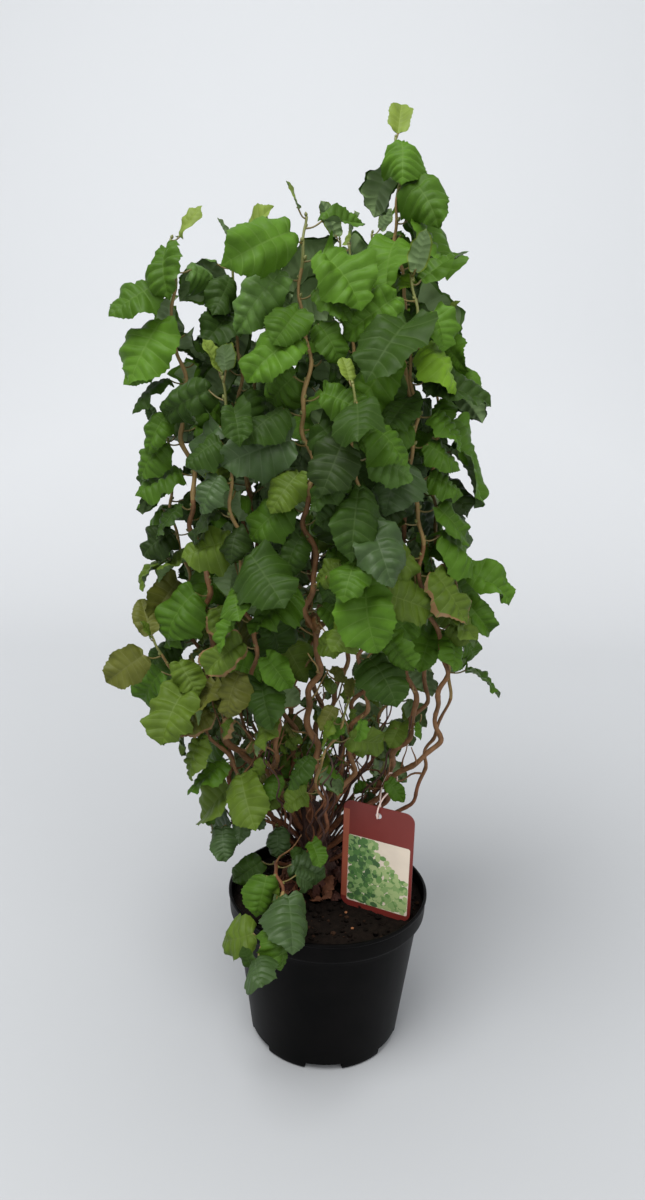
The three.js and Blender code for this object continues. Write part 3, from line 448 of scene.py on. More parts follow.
# Each look is a plain colour with a little fine noise in it, which may blend into a second colour
Look = namedtuple(
    "Look", "color roughness grain scale bump bump_scale specular second",
    defaults=(0.06, 60.0, 0.0, 200.0, 0.5, None),
)
LEAF_GRAIN = {"scale": 90.0, "bump_scale": 500.0}
BARK_GRAIN = {"scale": 160.0, "bump_scale": 900.0, "specular": 0.3}
DEAD_GRAIN = {"grain": 0.25, "scale": 120.0, "specular": 0.2}
PLASTIC = {"roughness": 0.4, "grain": 0.03}
PEAT_GRAIN = {"grain": 0.3, "scale": 200.0, "bump": 0.8, "bump_scale": 700.0, "specular": 0.1}
LOOKS = {
    "leaf_under": Look((104, 128, 78), 0.62, 0.06, bump=0.1, **LEAF_GRAIN),
    "leaf_stalk": Look((104, 92, 44), 0.5, 0.08),
    "leaf_edge": Look((112, 84, 46), 0.6, 0.1),
    "leaf_dead": Look((62, 35, 27), 0.75, **DEAD_GRAIN),
    "leaf_dead_pale": Look((104, 66, 46), 0.75, **DEAD_GRAIN),
    "bark_old": Look((106, 66, 42), 0.66, 0.24, bump=0.35, **BARK_GRAIN),
    "bark_mid": Look((118, 84, 53), 0.6, 0.2, bump=0.25, **BARK_GRAIN),
    "bark_young": Look((136, 112, 68), 0.56, 0.14, bump=0.2, **BARK_GRAIN),
    "bark_green": Look((104, 108, 50), 0.5, 0.1, 160.0),
    "bark_stump": Look((64, 40, 32), 0.8, 0.3, 120.0, 0.6, 500.0),
    "pot_black": Look((3, 3, 3), 0.42, 0.2, 30.0, 0.08, 120.0, 0.06, (6, 5, 5)),
    "soil_dark": Look((20, 14, 10), 0.95, **PEAT_GRAIN),
    "soil_brown": Look((48, 32, 22), 0.95, **PEAT_GRAIN),
    "soil_chip": Look((150, 96, 60), 0.8, 0.2, 200.0),
    "label_red": Look((116, 42, 36), **PLASTIC),
    "label_back": Look((206, 200, 192), 0.45, 0.03),
    "label_orange": Look((158, 84, 62), **PLASTIC),
    "label_ground": Look((222, 208, 190), **PLASTIC),
    "label_shade": Look((66, 100, 60), **PLASTIC),
    "label_green": Look((80, 120, 64), **PLASTIC),
    "label_leaf": Look((104, 142, 80), **PLASTIC),
    "label_soft": Look((130, 160, 100), **PLASTIC),
    "label_light": Look((160, 180, 122), **PLASTIC),
    "loop_pink": Look((226, 200, 190), **PLASTIC),
}
for tint, (blade_color, gloss) in TINTS.items():
    vein_color = [c + (VEIN_TONE - c) * VEIN_SHARE for c in blade_color]
    LOOKS["leaf_" + tint] = Look(blade_color, 0.5, 0.1, bump=0.12, specular=gloss, **LEAF_GRAIN)
    LOOKS["vein_" + tint] = Look(vein_color, 0.55, 0.04, specular=gloss)

UP = np.array([0.0, 0.0, 1.0])
LEVEL = np.array([1.0, 1.0, 0.0])
TRUNK_MIDDLE = np.array([TRUNK_X, TRUNK_Y, 0.0])


def unit(v):
    return v / np.linalg.norm(v)


def clamped(value, low=0.0, high=1.0):
    return min(high, max(low, value))


def compass(degrees):
    a = math.radians(degrees)
    return np.array([math.cos(a), math.sin(a), 0.0])


# A direction that rises from a level one by an angle in radians
def raised(level, angle):
    return level * math.cos(angle) + UP * math.sin(angle)


def trunk_axis(height):
    lean = TRUNK_LEAN_X * height / TRUNK_HEIGHT
    return np.array([TRUNK_X + lean, TRUNK_Y, SOIL_TOP + GAP + height])


# Numbers from 0 to 1 that are the same on every run
def chance_from(seed):
    state = seed % 2**32

    def draw():
        nonlocal state
        state = (state * 1664525 + 1013904223) % 2**32
        return state / 2**32

    return draw


def shoot_chance(shoot, seeds):
    factor, added = seeds
    return chance_from(shoot.seed * factor + added)


# A value as it is, or drawn if it is a pair
def drawn(value, chance):
    return value[0] + value[1] * chance() if isinstance(value, tuple) else value


def smooth_step(t):
    return t * t * (3 - 2 * t)


# A smooth cubic through the places, with knots spaced by their distances
def smooth_through(places):
    knots = [0.0]
    for a, b in zip(places, places[1:]):
        knots.append(knots[-1] + np.linalg.norm(b - a))
    slopes = [(b - a) / (t - s) for a, b, s, t in zip(places, places[1:], knots, knots[1:])]
    tangents = [slopes[0]]
    for i in range(1, len(places) - 1):
        before = knots[i] - knots[i - 1]
        after = knots[i + 1] - knots[i]
        tangents.append((slopes[i] * before + slopes[i - 1] * after) / (before + after))
    tangents.append(slopes[-1])

    def curve(distance):
        i = 0
        while i < len(places) - 2 and distance > knots[i + 1]:
            i += 1
        span = knots[i + 1] - knots[i]
        t = (distance - knots[i]) / span
        bow = (tangents[i] * (1 - t) - tangents[i + 1] * t) * (span * t * (1 - t))
        return places[i] + (places[i + 1] - places[i]) * smooth_step(t) + bow

    return curve, knots[-1]


def radius_at(shoot, share):
    return STEM_TIP_RADIUS + (shoot.radius - STEM_TIP_RADIUS) * max(0.0, 1 - share) ** STEM_TAPER


# How far a stem lies from its smooth line: long waves that wander in length, and small kinks
def sway_at(distance, phase, second):
    wander = WAVE_WANDER * math.sin(distance / WANDER_LENGTH + second)
    wave = phase + math.tau * distance / WAVE_LENGTH + wander
    kink = second + math.tau * distance / KINK_LENGTH
    return np.array([
        WAVE_SIZE * math.cos(wave) + KINK_SIZE * math.sin(kink),
        WAVE_SIZE * math.sin(wave) + KINK_SIZE * math.cos(kink),
        WAVE_SIZE * WAVE_LIFT_SHARE * math.sin(kink / 2),
    ])


class Stem:
    """The wavy centre line of a shoot, as points about STEM_STEP apart"""

    def __init__(self, shoot):
        self.shoot = shoot
        chance = shoot_chance(shoot, STEM_SEEDS)
        angle, height = shoot.exit
        root = trunk_axis(height) + compass(angle) * ROOT_INSET
        lift = SHOULDER_LIFT + height * SHOULDER_LIFT_SHARE
        shoulder = root + compass(angle) * SHOULDER_REACH + UP * lift
        places = [root, shoulder] + [np.array(place, float) for place in shoot.places]
        curve, self.length = smooth_through(places)
        phase = chance() * math.tau
        second = chance() * math.tau
        count = round(self.length / STEM_STEP)
        points = []
        for share in np.arange(count + 1) / count:
            distance = self.length * share
            calm = clamped((distance - STRAIGHT_LENGTH) / WAVE_GROWTH) * (1 - TIP_CALM * share)
            points.append(curve(distance) + sway_at(distance, phase, second) * calm)
        self.points = np.array(points)

    def along(self, share):
        place = share * (len(self.points) - 1)
        i = min(len(self.points) - 2, math.floor(place))
        return self.points[i] + (self.points[i + 1] - self.points[i]) * (place - i)

    def direction(self, share):
        return unit(self.along(min(1.0, share + 0.01)) - self.along(max(0.0, share - 0.01)))


# A leaf's stalk runs from its root to the base of its blade. Along runs from there to the tip, normal is its
# upper side, and droop, twist and fold are angles in radians. Tangent is the stem's direction at the leaf.
Leaf = namedtuple(
    "Leaf", "base along normal side length width droop twist fold curl root youth tangent share",
    defaults=(None, 0.0, None, None),
)


def leaf_of(kind, lit, base, along, length, chance, limpness=1.0, **rest):
    normal = unit(lit - along * lit.dot(along))
    return Leaf(
        base=base,
        along=along,
        normal=normal,
        side=np.cross(along, normal),
        length=length,
        width=length * drawn(kind.width, chance),
        droop=math.radians(drawn(kind.droop, chance) * limpness),
        twist=math.radians(kind.twist * (chance() - 0.5)),
        fold=math.radians(drawn(kind.fold, chance)),
        curl=drawn(kind.curl, chance),
        **rest,
    )


# Points of a blade that is bent down along its midrib, folded up along it and twisted. s runs from its base
# to its tip, x is the distance to one side of the midrib, and lift is the height over its smooth face.
def blade_points(leaf, s, x, lift=0.0):
    s = np.atleast_1d(np.asarray(s, float))
    x = np.broadcast_to(np.asarray(x, float), s.shape)
    bend = leaf.droop * s
    reach = np.sin(bend) / leaf.droop * leaf.length
    fall = (1 - np.cos(bend)) / leaf.droop * leaf.length
    normal = leaf.normal * np.cos(bend)[:, None] + leaf.along * np.sin(bend)[:, None]
    turn = (leaf.twist * s)[:, None]
    side = leaf.side * np.cos(turn) + normal * np.sin(turn)
    above = normal * np.cos(turn) - leaf.side * np.sin(turn)
    height = np.abs(x) * math.sin(leaf.fold) - leaf.curl * x * x / (leaf.width / 2) + lift
    return (
        leaf.base
        + leaf.along * reach[:, None]
        - leaf.normal * fall[:, None]
        + side * (x * math.cos(leaf.fold))[:, None]
        + above * height[:, None]
    )


# The light that a leaf turns its face to: up and out of the crown, forward in its front half and backward
# behind
def light_at(root, outward, chance):
    front = clamped(0.5 - (root[1] - TRUNK_Y) / FRONT_HALF_DEPTH)

    def scatter():
        return FACE_SPREAD * (chance() - 0.5)

    return np.array([
        FACE_OUTWARD * outward[0] + scatter(),
        FACE_FORWARD * (1 - 2 * front) + scatter(),
        FACE_UPWARD + scatter(),
    ])


# The same rule and the same draws as in the part, so that each blade lies where its plain one does
def leaf_at(stem, share, angle, grown, youth, chance):
    tangent = stem.direction(share)
    root = stem.along(share)
    outward = (root - TRUNK_MIDDLE) * LEVEL / OUTWARD_REACH
    if np.linalg.norm(outward) > MOST_OUTWARD:
        outward = unit(outward) * MOST_OUTWARD
    level = unit((compass(angle) + outward) * LEVEL)
    stalk = raised(level, math.radians(drawn(STALK_RISE, chance) + YOUNG_STALK_RISE * youth))
    stalk = unit(stalk - tangent * (STALK_SQUARING * stalk.dot(tangent)))
    stalk_length = STALK_LENGTH * drawn(STALK_LENGTH_RANGE, chance) * (1 - YOUNG_STALK_SHRINK * youth)
    dip = drawn(BLADE_DIP, chance) * (1 - youth) - YOUNG_BLADE_RISE * youth
    return leaf_of(
        CROWN_LEAF, light_at(root, outward, chance), root + stalk * stalk_length,
        raised(level, math.radians(-dip)), LEAF_LENGTH * grown, chance,
        limpness=1 - YOUNG_STIFFNESS * youth, root=root, youth=youth, tangent=tangent, share=share,
    )


def tree_of(node):
    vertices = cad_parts[node].data.vertices
    tree = KDTree(len(vertices))
    for i, vertex in enumerate(vertices):
        tree.insert(vertex.co, i)
    tree.balance()
    return tree


# A leaf is drawn at the size and on the side of its stem at which the plain one stands, and left out where
# none does
def matched_leaf(stem, share, angle, grown, youth, seed, tree):
    for size in SIZES_TO_TRY:
        for turn in TURNS_TO_TRY:
            leaf = leaf_at(stem, share, angle + turn, grown * size, youth, chance_from(seed))
            tip = blade_points(leaf, 1.0, 0.0)[0]
            if tree.find(Vector(tip * MM))[2] < SAME_PLACE * MM:
                return leaf
    return None


def leaves_of(stem):
    shoot = stem.shoot
    tree = tree_of(shoot.name + "_leaves")
    chance = shoot_chance(shoot, LEAVES_SEEDS)
    made = []
    distance = stem.length * (shoot.bare + LEAFLESS_SHARE)
    last = stem.length - TIP_INSET
    node = 0
    while distance < stem.length:
        share = distance / stem.length
        youth = max(0.0, 1 - (stem.length - distance) / YOUNG_LENGTH)
        high = clamped((stem.along(share)[2] - LOW_LEAVES) / LEAFY_HEIGHT)
        vigour = shoot.vigour * (LOW_VIGOUR + TOP_VIGOUR * high)
        grown = vigour * (1 - YOUNG_SHRINK * youth) * drawn(SIZE_RANGE, chance)
        angle = shoot.first + node * (180 + shoot.drift) + ANGLE_SPREAD * (chance() - 0.5)
        leaf = matched_leaf(stem, share, angle, grown, youth, shoot.seed * NODE_SEED_FACTOR + node, tree)
        if leaf:
            made.append(leaf)
        spacing = shoot.open * (LOW_NODE_SPACING + (TOP_NODE_SPACING - LOW_NODE_SPACING) * high)
        near_last = distance < last and distance + spacing * LAST_GAP_SHARE > last
        distance = last if near_last else distance + spacing
        node += 1
    return made


# Rings of points joined into a skin, either round to the first ring or with a face at each end
def skin(rings, sides, closed=False):
    faces = []
    last = (len(rings) - 1) * sides
    for start in range(0, last, sides):
        for k in range(sides):
            n = (k + 1) % sides
            faces.append([start + k, start + n, start + n + sides, start + k + sides])
    if closed:
        faces += [[last + k, last + (k + 1) % sides, (k + 1) % sides, k] for k in range(sides)]
    else:
        faces += [list(range(sides))[::-1], list(range(last, last + sides))]
    return faces


def turns_of(sides):
    return np.arange(sides) / sides * math.tau


# A level ring of points about the pot's axis
def level_ring(radius, z, turns):
    return np.stack([radius * np.cos(turns), radius * np.sin(turns), z + 0 * turns], axis=1)


# A ring of points about a place, across two directions
def ring_round(place, across, over, reach, turns):
    return place + np.outer(np.cos(turns) * reach, across) + np.outer(np.sin(turns) * reach, over)


class Shape:
    """A mesh gathered as points and faces, each face with the name of its look"""

    def __init__(self):
        self.points = []
        self.faces = []
        self.looks = []
        self.count = 0

    def add(self, points, faces, look):
        points = np.asarray(points, float)
        self.points.append(points)
        self.faces.extend([[i + self.count for i in face] for face in faces])
        self.looks.extend([look] * len(faces) if isinstance(look, str) else look)
        self.count += len(points)

    def add_rings(self, rings, sides, look):
        self.add(np.concatenate(rings), skin(rings, sides), look)

    def add_tube(self, points, radii, sides, look, tangents=None, relief=None):
        points = np.array(points)
        if tangents is None:
            tangents = [unit(t) for t in np.gradient(points, axis=0)]
        rings = []
        across = np.array([0.31, 0.95, 0.05])
        turns = turns_of(sides)
        for i, (point, tangent) in enumerate(zip(points, tangents)):
            across = unit(across - tangent * across.dot(tangent))
            reach = radii[i] + (relief(i, turns) if relief else 0 * turns)
            rings.append(ring_round(point, across, np.cross(tangent, across), reach, turns))
        self.add_rings(rings, sides, look)

    def piece(self, name, node=None, smooth=True):
        mesh = bpy.data.meshes.new(name)
        mesh.from_pydata((np.concatenate(self.points) * MM).tolist(), [], self.faces)
        numbers = {}
        for look in dict.fromkeys(self.looks):
            numbers[look] = len(numbers)
            mesh.materials.append(material(look))
        mesh.polygons.foreach_set("material_index", [numbers[look] for look in self.looks])
        mesh.polygons.foreach_set("use_smooth", [smooth] * len(self.faces))
        mesh.update()
        made = bpy.data.objects.new(name, mesh)
        bpy.context.collection.objects.link(made)
        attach(made, "root")
        if node:
            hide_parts(node)
        return made


def linear(channel):
    c = channel / 255
    return c / 12.92 if c <= 0.04045 else ((c + 0.055) / 1.055) ** 2.4


def opaque(color, tone=1.0):
    return [min(1.0, linear(c) * tone) for c in color] + [1.0]


def add_noise(tree, scale, detail):
    place = tree.nodes.new("ShaderNodeTexCoord")
    noise = tree.nodes.new("ShaderNodeTexNoise")
    noise.inputs["Scale"].default_value = scale
    noise.inputs["Detail"].default_value = detail
    tree.links.new(place.outputs["Object"], noise.inputs["Vector"])
    return noise.outputs["Fac"]


# A ramp between two colours, driven by a value, that colours the shader
def add_ramp(tree, value, first, second):
    ramp = tree.nodes.new("ShaderNodeValToRGB")
    for element, (position, color) in zip(ramp.color_ramp.elements, (first, second)):
        element.position = position
        element.color = color
    tree.links.new(value, ramp.inputs["Fac"])
    tree.links.new(ramp.outputs["Color"], tree.nodes["Principled BSDF"].inputs["Base Color"])


def new_material(name, roughness, specular):
    made = bpy.data.materials.new(name)
    made.use_nodes = True
    shader = made.node_tree.nodes["Principled BSDF"]
    shader.inputs["Roughness"].default_value = roughness
    shader.inputs["Specular IOR Level"].default_value = specular
    return made


@cache
def material(name):
    look = LOOKS[name]
    made = new_material(name, look.roughness, look.specular)
    tree = made.node_tree
    darker = opaque(look.color, 1 - look.grain)
    lighter = opaque(look.second or look.color, 1 + look.grain)
    add_ramp(tree, add_noise(tree, look.scale, 3.0), (0.35, darker), (0.65, lighter))
    if look.bump:
        relief = tree.nodes.new("ShaderNodeBump")
        relief.inputs["Strength"].default_value = look.bump
        relief.inputs["Distance"].default_value = MM
        tree.links.new(add_noise(tree, look.bump_scale, 4.0), relief.inputs["Height"])
        tree.links.new(relief.outputs["Normal"], tree.nodes["Principled BSDF"].inputs["Normal"])
    return made


class Plan:
    """The pattern of a fine blade. Its lines run from the midrib to the margin along the side veins and
    between them, and its stations divide each line. q is a line's place round the margin, out is a station's
    place on its line, and rib_s, rim_s and rim_x say where a line starts and ends on the blade."""

    def __init__(self, veins, stations):
        lines = list(BASE_LINES)
        for vein in range(1, veins + 1):
            lines += [(vein + past, side, tooth) for past, side, tooth in VEIN_LINES]
        place, side, tooth = np.array(lines).T[:, :, None]
        ends = veins + 1
        self.u = np.array([-s for s in stations[::-1]] + stations)[None, :] + 0 * place
        self.out = np.abs(self.u)
        v = place + side * (VEIN_HALF_WIDTH - VEIN_NARROWING * self.out)
        self.q = 1 - (1 - v / ends) ** 1.25
        self.rib_s = np.maximum(0, (v - 0.8) / (ends - 0.8))
        self.set_rim()
        self.teeth = tooth * (self.out > 0.99)
        self.beside_vein = (side != 0) + 0 * v
        inner = np.where(v < 1, (v - FIRST_LINE) / (1 - FIRST_LINE), v % 1.0)
        across = np.sin(math.pi * np.clip(inner, 0, 1)) ** 0.8
        self.puff = across * np.sin(math.pi * self.out**0.8) ** 0.7
        self.count = v.size + 1
        self.number_faces(lines, len(stations) * 2)

    # The margin is round, drawn in at the stalk like a heart and out at the tip to a point
    def set_rim(self):
        round_way = math.pi * self.q
        heart = 0.5 * np.sin(round_way) * np.exp(-self.q / 0.13)
        point = 0.1 * np.exp(-(1 - self.q) / 0.05)
        self.rim_s = ((1 - np.cos(round_way)) / 2 - heart + point) / 1.1
        self.rim_x = np.sin(round_way) ** 0.8 * (1 - 0.1 * self.q)

    def number_faces(self, lines, wide):
        middle = wide // 2 - 1
        self.faces = []
        self.on_vein = []
        self.at_edge = []
        tip = len(lines) * wide
        for i, line in enumerate(lines):
            for j in range(wide - 1):
                a = i * wide + j
                above = a + wide
                if i == len(lines) - 1:
                    corners = [[a, a + 1, tip]]
                elif j < middle:
                    corners = [[a, a + 1, above + 1], [a, above + 1, above]]
                else:
                    corners = [[a, a + 1, above], [a + 1, above + 1, above]]
                self.faces += corners
                self.on_vein += [j == middle or line[1] == -1] * len(corners)
                self.at_edge += [j in (0, wide - 2)] * len(corners)
        self.faces += [[i + self.count for i in face[::-1]] for face in self.faces]


LARGE = Plan(LARGE_VEINS, LARGE_STATIONS)
SMALL = Plan(SMALL_VEINS, SMALL_STATIONS)


# A fine blade is folded and curled more strongly than its plain one. A young one is narrow and stands up.
def crumpled(leaf, chance):
    youth = leaf.youth
    along = unit(leaf.along + UP * YOUNG_LIFT * youth)
    normal = unit(leaf.normal - along * leaf.normal.dot(along))
    return leaf._replace(
        fold=leaf.fold + math.radians(MORE_FOLD * chance()),
        curl=leaf.curl + drawn(MORE_CURL, chance) * (1 - youth),
        along=along,
        normal=normal,
        side=np.cross(along, normal),
        length=leaf.length * (1 - YOUNG_SHORTER * youth),
        width=leaf.width * (1 - YOUNG_NARROWER * youth),
    )


def margin_wave(plan, wave, start, chance):
    size = drawn(wave[0], chance)
    return size * np.sin(math.tau * drawn(wave[1], chance) * plan.q + start)


# How far a blade's points reach past its plain margin, and how high they lie over its smooth face. It is
# lobed and toothed, puffed up between its veins and wavy toward its margin, and its two halves bend apart.
def reach_and_lift(plan, chance):
    rough = np.random.default_rng(int(chance() * ROUGH_SEED_RANGE))

    def uneven(pair):
        return pair[0] + pair[1] * rough.random(plan.out.shape)

    reach = plan.teeth * uneven(TOOTH_REACH)
    lift = plan.puff * drawn(PUFF_HEIGHT, chance) * uneven(PUFF_UNEVENNESS)
    for side in (-1, 1):
        on_side = np.sign(plan.u) == side
        start = chance() * math.tau
        reach = reach + np.where(on_side, margin_wave(plan, LOBES, start, chance) * plan.out**2, 0.0)
        bent = MARGIN_BEND * (chance() - MARGIN_BEND_DOWN) * plan.out**1.5
        waves = margin_wave(plan, WAVES, start * 2, chance)
        waves = waves + margin_wave(plan, RIPPLES, start * 3, chance)
        lift = lift + np.where(on_side, waves * plan.out**2 + bent, 0.0)
    return reach, lift


# Creases across a blade in any direction, for places given as shares of its length and width
def crumples(plan, s, x, chance):
    lift = 0.0
    for _ in range(CRUMPLES):
        turn = chance() * math.pi
        crests = math.tau * drawn(CRUMPLE_CRESTS, chance)
        fold = np.sin(crests * (s * math.cos(turn) + x * math.sin(turn)) + math.tau * chance())
        lift = lift + drawn(CRUMPLE_HEIGHT, chance) * fold * np.minimum(1, plan.out * 2)
    return lift


def blade_mesh(plan, leaf, chance):
    leaf = crumpled(leaf, chance)
    scale = leaf.length / SCALE_LENGTH
    reach, lift = reach_and_lift(plan, chance)
    out = plan.out * (1 + reach)
    s = plan.rib_s + (plan.rim_s - plan.rib_s) * (0.75 * out + 0.25 * out**2)
    x = np.sign(plan.u) * plan.rim_x * (1.1 * out - 0.1 * out**2) * HALF_WIDTH
    lift = lift + crumples(plan, s, x, chance)
    lift = lift * scale * (1 - plan.q**6) * (1 - YOUNG_SMOOTHER * leaf.youth)
    ribs = np.where(plan.beside_vein > 0, 1 - plan.out, 0) + (plan.out < 0.1)
    depth = BLADE_THICKNESS * (1 - plan.out**4) + RIB_DEPTH * scale * ribs
    s = s.ravel() * BLADE_SHARE
    x = x.ravel() * BLADE_SHARE * leaf.width
    top = blade_points(leaf, s, x, lift.ravel())
    under = blade_points(leaf, s, x, (lift - depth).ravel())
    tip = blade_points(leaf, BLADE_SHARE, 0.0)
    return np.concatenate([top, tip, under, tip])


def blade_looks(plan, tint, edged):
    blade = "leaf_" + tint
    vein = "vein_" + tint
    margin = "leaf_edge" if edged else blade
    top = []
    under = []
    for on_vein, at_edge in zip(plan.on_vein, plan.at_edge):
        top.append(vein if on_vein else margin if at_edge else blade)
        under.append(margin if at_edge else "leaf_under")
    return top + under


# A stalk sags a little and ends inside the base of its blade
def add_stalk(shape, leaf, chance):
    sag = drawn(STALK_SAG, chance)
    points = []
    for t in np.linspace(0, 1, len(STALK_RADII) - 1):
        points.append(leaf.root + (leaf.base - leaf.root) * t - UP * sag * math.sin(math.pi * t))
    points.append(blade_points(leaf, 0.05, 0.0, -0.5)[0])
    thickness = min(1.0, THINNEST_STALK + leaf.length / SCALE_LENGTH)
    radii = [radius * thickness for radius in STALK_RADII]
    shape.add_tube(points, radii, THIN_SIDES, "leaf_stalk")


# True in the space kept for the label
def by_label(place):
    away = place - np.array([LABEL_X, LABEL_Y, SOIL_TOP])
    beside = abs(away.dot(compass(LABEL_TURN))) < LABEL_WIDTH / 2 + LABEL_SIDE_CLEARANCE
    before = abs(away.dot(compass(LABEL_TURN + 90))) < LABEL_CLEARANCE
    return beside and before and away[2] < LABEL_CLEAR_HEIGHT - SOIL_TOP


# True where a place is far from the stump, inside it or the pot, or by the label
def in_the_way(place):
    x, y, z = place
    from_trunk = math.hypot(x - TRUNK_X, y - TRUNK_Y)
    in_pot = math.hypot(x, y) < RIM_RADIUS + BESIDE_POT and z < POT_HEIGHT + ABOVE_POT
    in_stump = from_trunk < TRUNK_FOOT_RADIUS and z < SOIL_TOP + TRUNK_HEIGHT
    return from_trunk > TWIG_REACH or in_pot or in_stump or by_label(place)


# Thin crooked twigs on the bare lower part of a shoot, as lists of their points
def side_twigs(stem):
    chance = shoot_chance(stem.shoot, TWIG_SEEDS)
    twigs = []
    distance = LOWEST_TWIG
    while distance < stem.length * (stem.shoot.bare + HIGHEST_TWIG):
        points = [stem.along(distance / stem.length)]
        way = unit(compass(chance() * 360) + UP * drawn(TWIG_RISE, chance))
        turn = compass(chance() * 360)
        for _ in range(int(drawn(TWIG_LENGTH, chance) / TWIG_STEP)):
            turn = unit(turn + np.cross(way, turn) * TWIG_COIL + UP * TWIG_LIFT)
            way = unit(way + turn * drawn(TWIG_BEND, chance))
            points.append(points[-1] + way * TWIG_STEP)
        if not any(in_the_way(point) for point in points[1:]):
            twigs.append(points)
        distance += drawn(TWIG_SPACING, chance)
    return twigs


# A small leaf at the end or on the side of a side twig
def small_leaf(twig, node, chance):
    root = twig[node]
    level = unit((root - twig[node - 1]) * LEVEL + compass(chance() * 360) * 0.8)
    base = root + unit(level + UP * 0.5) * drawn(SMALL_STALK, chance)
    along = raised(level, math.radians(-drawn(SMALL_DIP, chance)))
    outward = (root - TRUNK_MIDDLE) * LEVEL / OUTWARD_REACH
    lit = light_at(root, outward, chance)
    return leaf_of(SMALL_LEAF, lit, base, along, drawn(SMALL_LENGTH, chance), chance, root=root)


def small_leaves(stem, twigs):
    chance = shoot_chance(stem.shoot, SMALL_LEAF_SEEDS)
    made = []
    for twig in twigs:
        leafy = LEAFY_TWIGS if twig[-1][0] < LEAFY_LEFT_OF else BARE_TWIGS
        for node in (len(twig) - 1, len(twig) // 2):
            if chance() < leafy:
                leaf = small_leaf(twig, node, chance)
                if not in_the_way(blade_points(leaf, 1.0, 0.0)[0]):
                    made.append(leaf)
    return made


def tint_of(leaf, chance):
    x, y, z = leaf.base
    draw = chance()
    if leaf.youth > 0.5 and z > YOUNG_TINT_HEIGHT:
        return "young"
    shares = next(shares for low, right_of, shares in TINT_ZONES if z >= low and x > right_of)
    for tint, share in shares.items():
        draw -= share
        if draw < 0:
            break
    return tint


def leaf_piece(stem, leaves, small):
    shape = Shape()
    chance = shoot_chance(stem.shoot, BLADE_SEEDS)
    for plan, group in ((LARGE, leaves), (SMALL, small)):
        for leaf in group:
            tint = tint_of(leaf, chance)
            edged = chance() < EDGED_SHARE and tint in EDGED_TINTS
            shape.add(blade_mesh(plan, leaf, chance), plan.faces, blade_looks(plan, tint, edged))
            add_stalk(shape, leaf, chance)
    name = stem.shoot.name
    shape.piece(name + "_foliage", name + "_leaves")


# The places of the ridges round a stem, at its leaves and where leaves once stood
def ridges_of(stem, leaves, chance):
    ridges = [leaf.share for leaf in leaves]
    place = LOWEST_RIDGE / stem.length
    while place < stem.shoot.bare:
        ridges.append(place)
        place += drawn(OLD_RIDGES, chance) / stem.length
    return np.array(ridges)


# How far the bark lies out from a stem's plain round: ridged, and a little uneven all round
def bark_relief(stem, leaves, shares, radii, chance):
    ridges = ridges_of(stem, leaves, chance)
    phases = [chance() * math.tau for _ in range(4)]

    def relief(i, turns):
        distance = shares[i] * stem.length
        near = np.abs(ridges - shares[i]).min() * stem.length
        ridge = RIDGE_HEIGHT * math.exp(-((near / RIDGE_WIDTH) ** 2))
        wide = 0.05 * np.sin(2 * turns + distance / 9 + phases[0])
        narrow = 0.035 * np.sin(3 * turns - distance / 5 + phases[1])
        swell = 0.05 * math.sin(distance / 7 + phases[2])
        return radii[i] * (ridge + wide + narrow + swell)

    return relief


def bark_look(share, height):
    if share > GREEN_BARK_SHARE:
        return "bark_green"
    if share > YOUNG_BARK_SHARE:
        return "bark_young"
    return "bark_mid" if height > OLD_BARK_HEIGHT else "bark_old"


def stem_piece(stem, leaves, twigs):
    shoot = stem.shoot
    count = round(stem.length / FINE_STEP)
    shares = [i / count for i in range(count + 1)]
    points = [stem.along(share) for share in shares]
    tangents = [stem.direction(share) for share in shares]
    radii = [radius_at(shoot, share) * BARK_SHARE for share in shares]
    looks = [bark_look(share, point[2]) for share, point in zip(shares[:-1], points)]
    face_looks = [look for look in looks for _ in range(FINE_SIDES)] + [looks[0], looks[-1]]
    chance = shoot_chance(shoot, BARK_SEEDS)
    relief = bark_relief(stem, leaves, shares, radii, chance)
    shape = Shape()
    shape.add_tube(points, radii, FINE_SIDES, face_looks, tangents, relief)
    add_buds(shape, stem, leaves, chance)
    for twig in twigs:
        radii = np.linspace(TWIG_RADIUS, TWIG_TIP_RADIUS, len(twig))
        look = "bark_mid" if twig[0][2] < YOUNG_TWIG_HEIGHT else "bark_young"
        shape.add_tube(twig, radii, THIN_SIDES, look)
    shape.piece(shoot.name + "_bark", shoot.name + "_bough")


# A pointed bud above the foot of each stalk
def add_buds(shape, stem, leaves, chance):
    for leaf in leaves:
        stalk = unit(leaf.base - leaf.root)
        radius = radius_at(stem.shoot, leaf.share)
        way = unit(stalk * 0.6 + leaf.tangent * 0.8)
        start = leaf.root + stalk * radius * 0.5 + leaf.tangent * BUD_LIFT
        size = drawn(BUD_SIZE, chance)
        points = [start + way * size * station for station in BUD_STATIONS]
        radii = [radius * size for radius in BUD_RADII]
        shape.add_tube(points, radii, THIN_SIDES, "bark_green", [way] * len(points))


# The points of a thin wavy sucker that rises close beside the stump
def sucker_points(number, chance):
    height = drawn(SUCKER_FOOT, chance)
    way = compass(number * SUCKER_TURN + SUCKER_SPREAD * chance())
    start = trunk_axis(height) + way * (TRUNK_WAIST_RADIUS - SUCKER_INSET)
    lean = drawn(SUCKER_LEAN, chance)
    count = round(drawn(SUCKER_LENGTH, chance) / TWIG_STEP)
    phase = chance() * math.tau
    points = []
    for along in range(0, (count + 1) * TWIG_STEP, TWIG_STEP):
        calm = min(1.0, along / WAVE_GROWTH)
        turn = phase + math.tau * along / SUCKER_WAVE
        sway = np.array([math.cos(turn), math.sin(turn), 0.0]) * SUCKER_SWAY * calm
        points.append(start + way * (SUCKER_SHOULDER * calm + lean * along) + UP * along + sway)
    return points


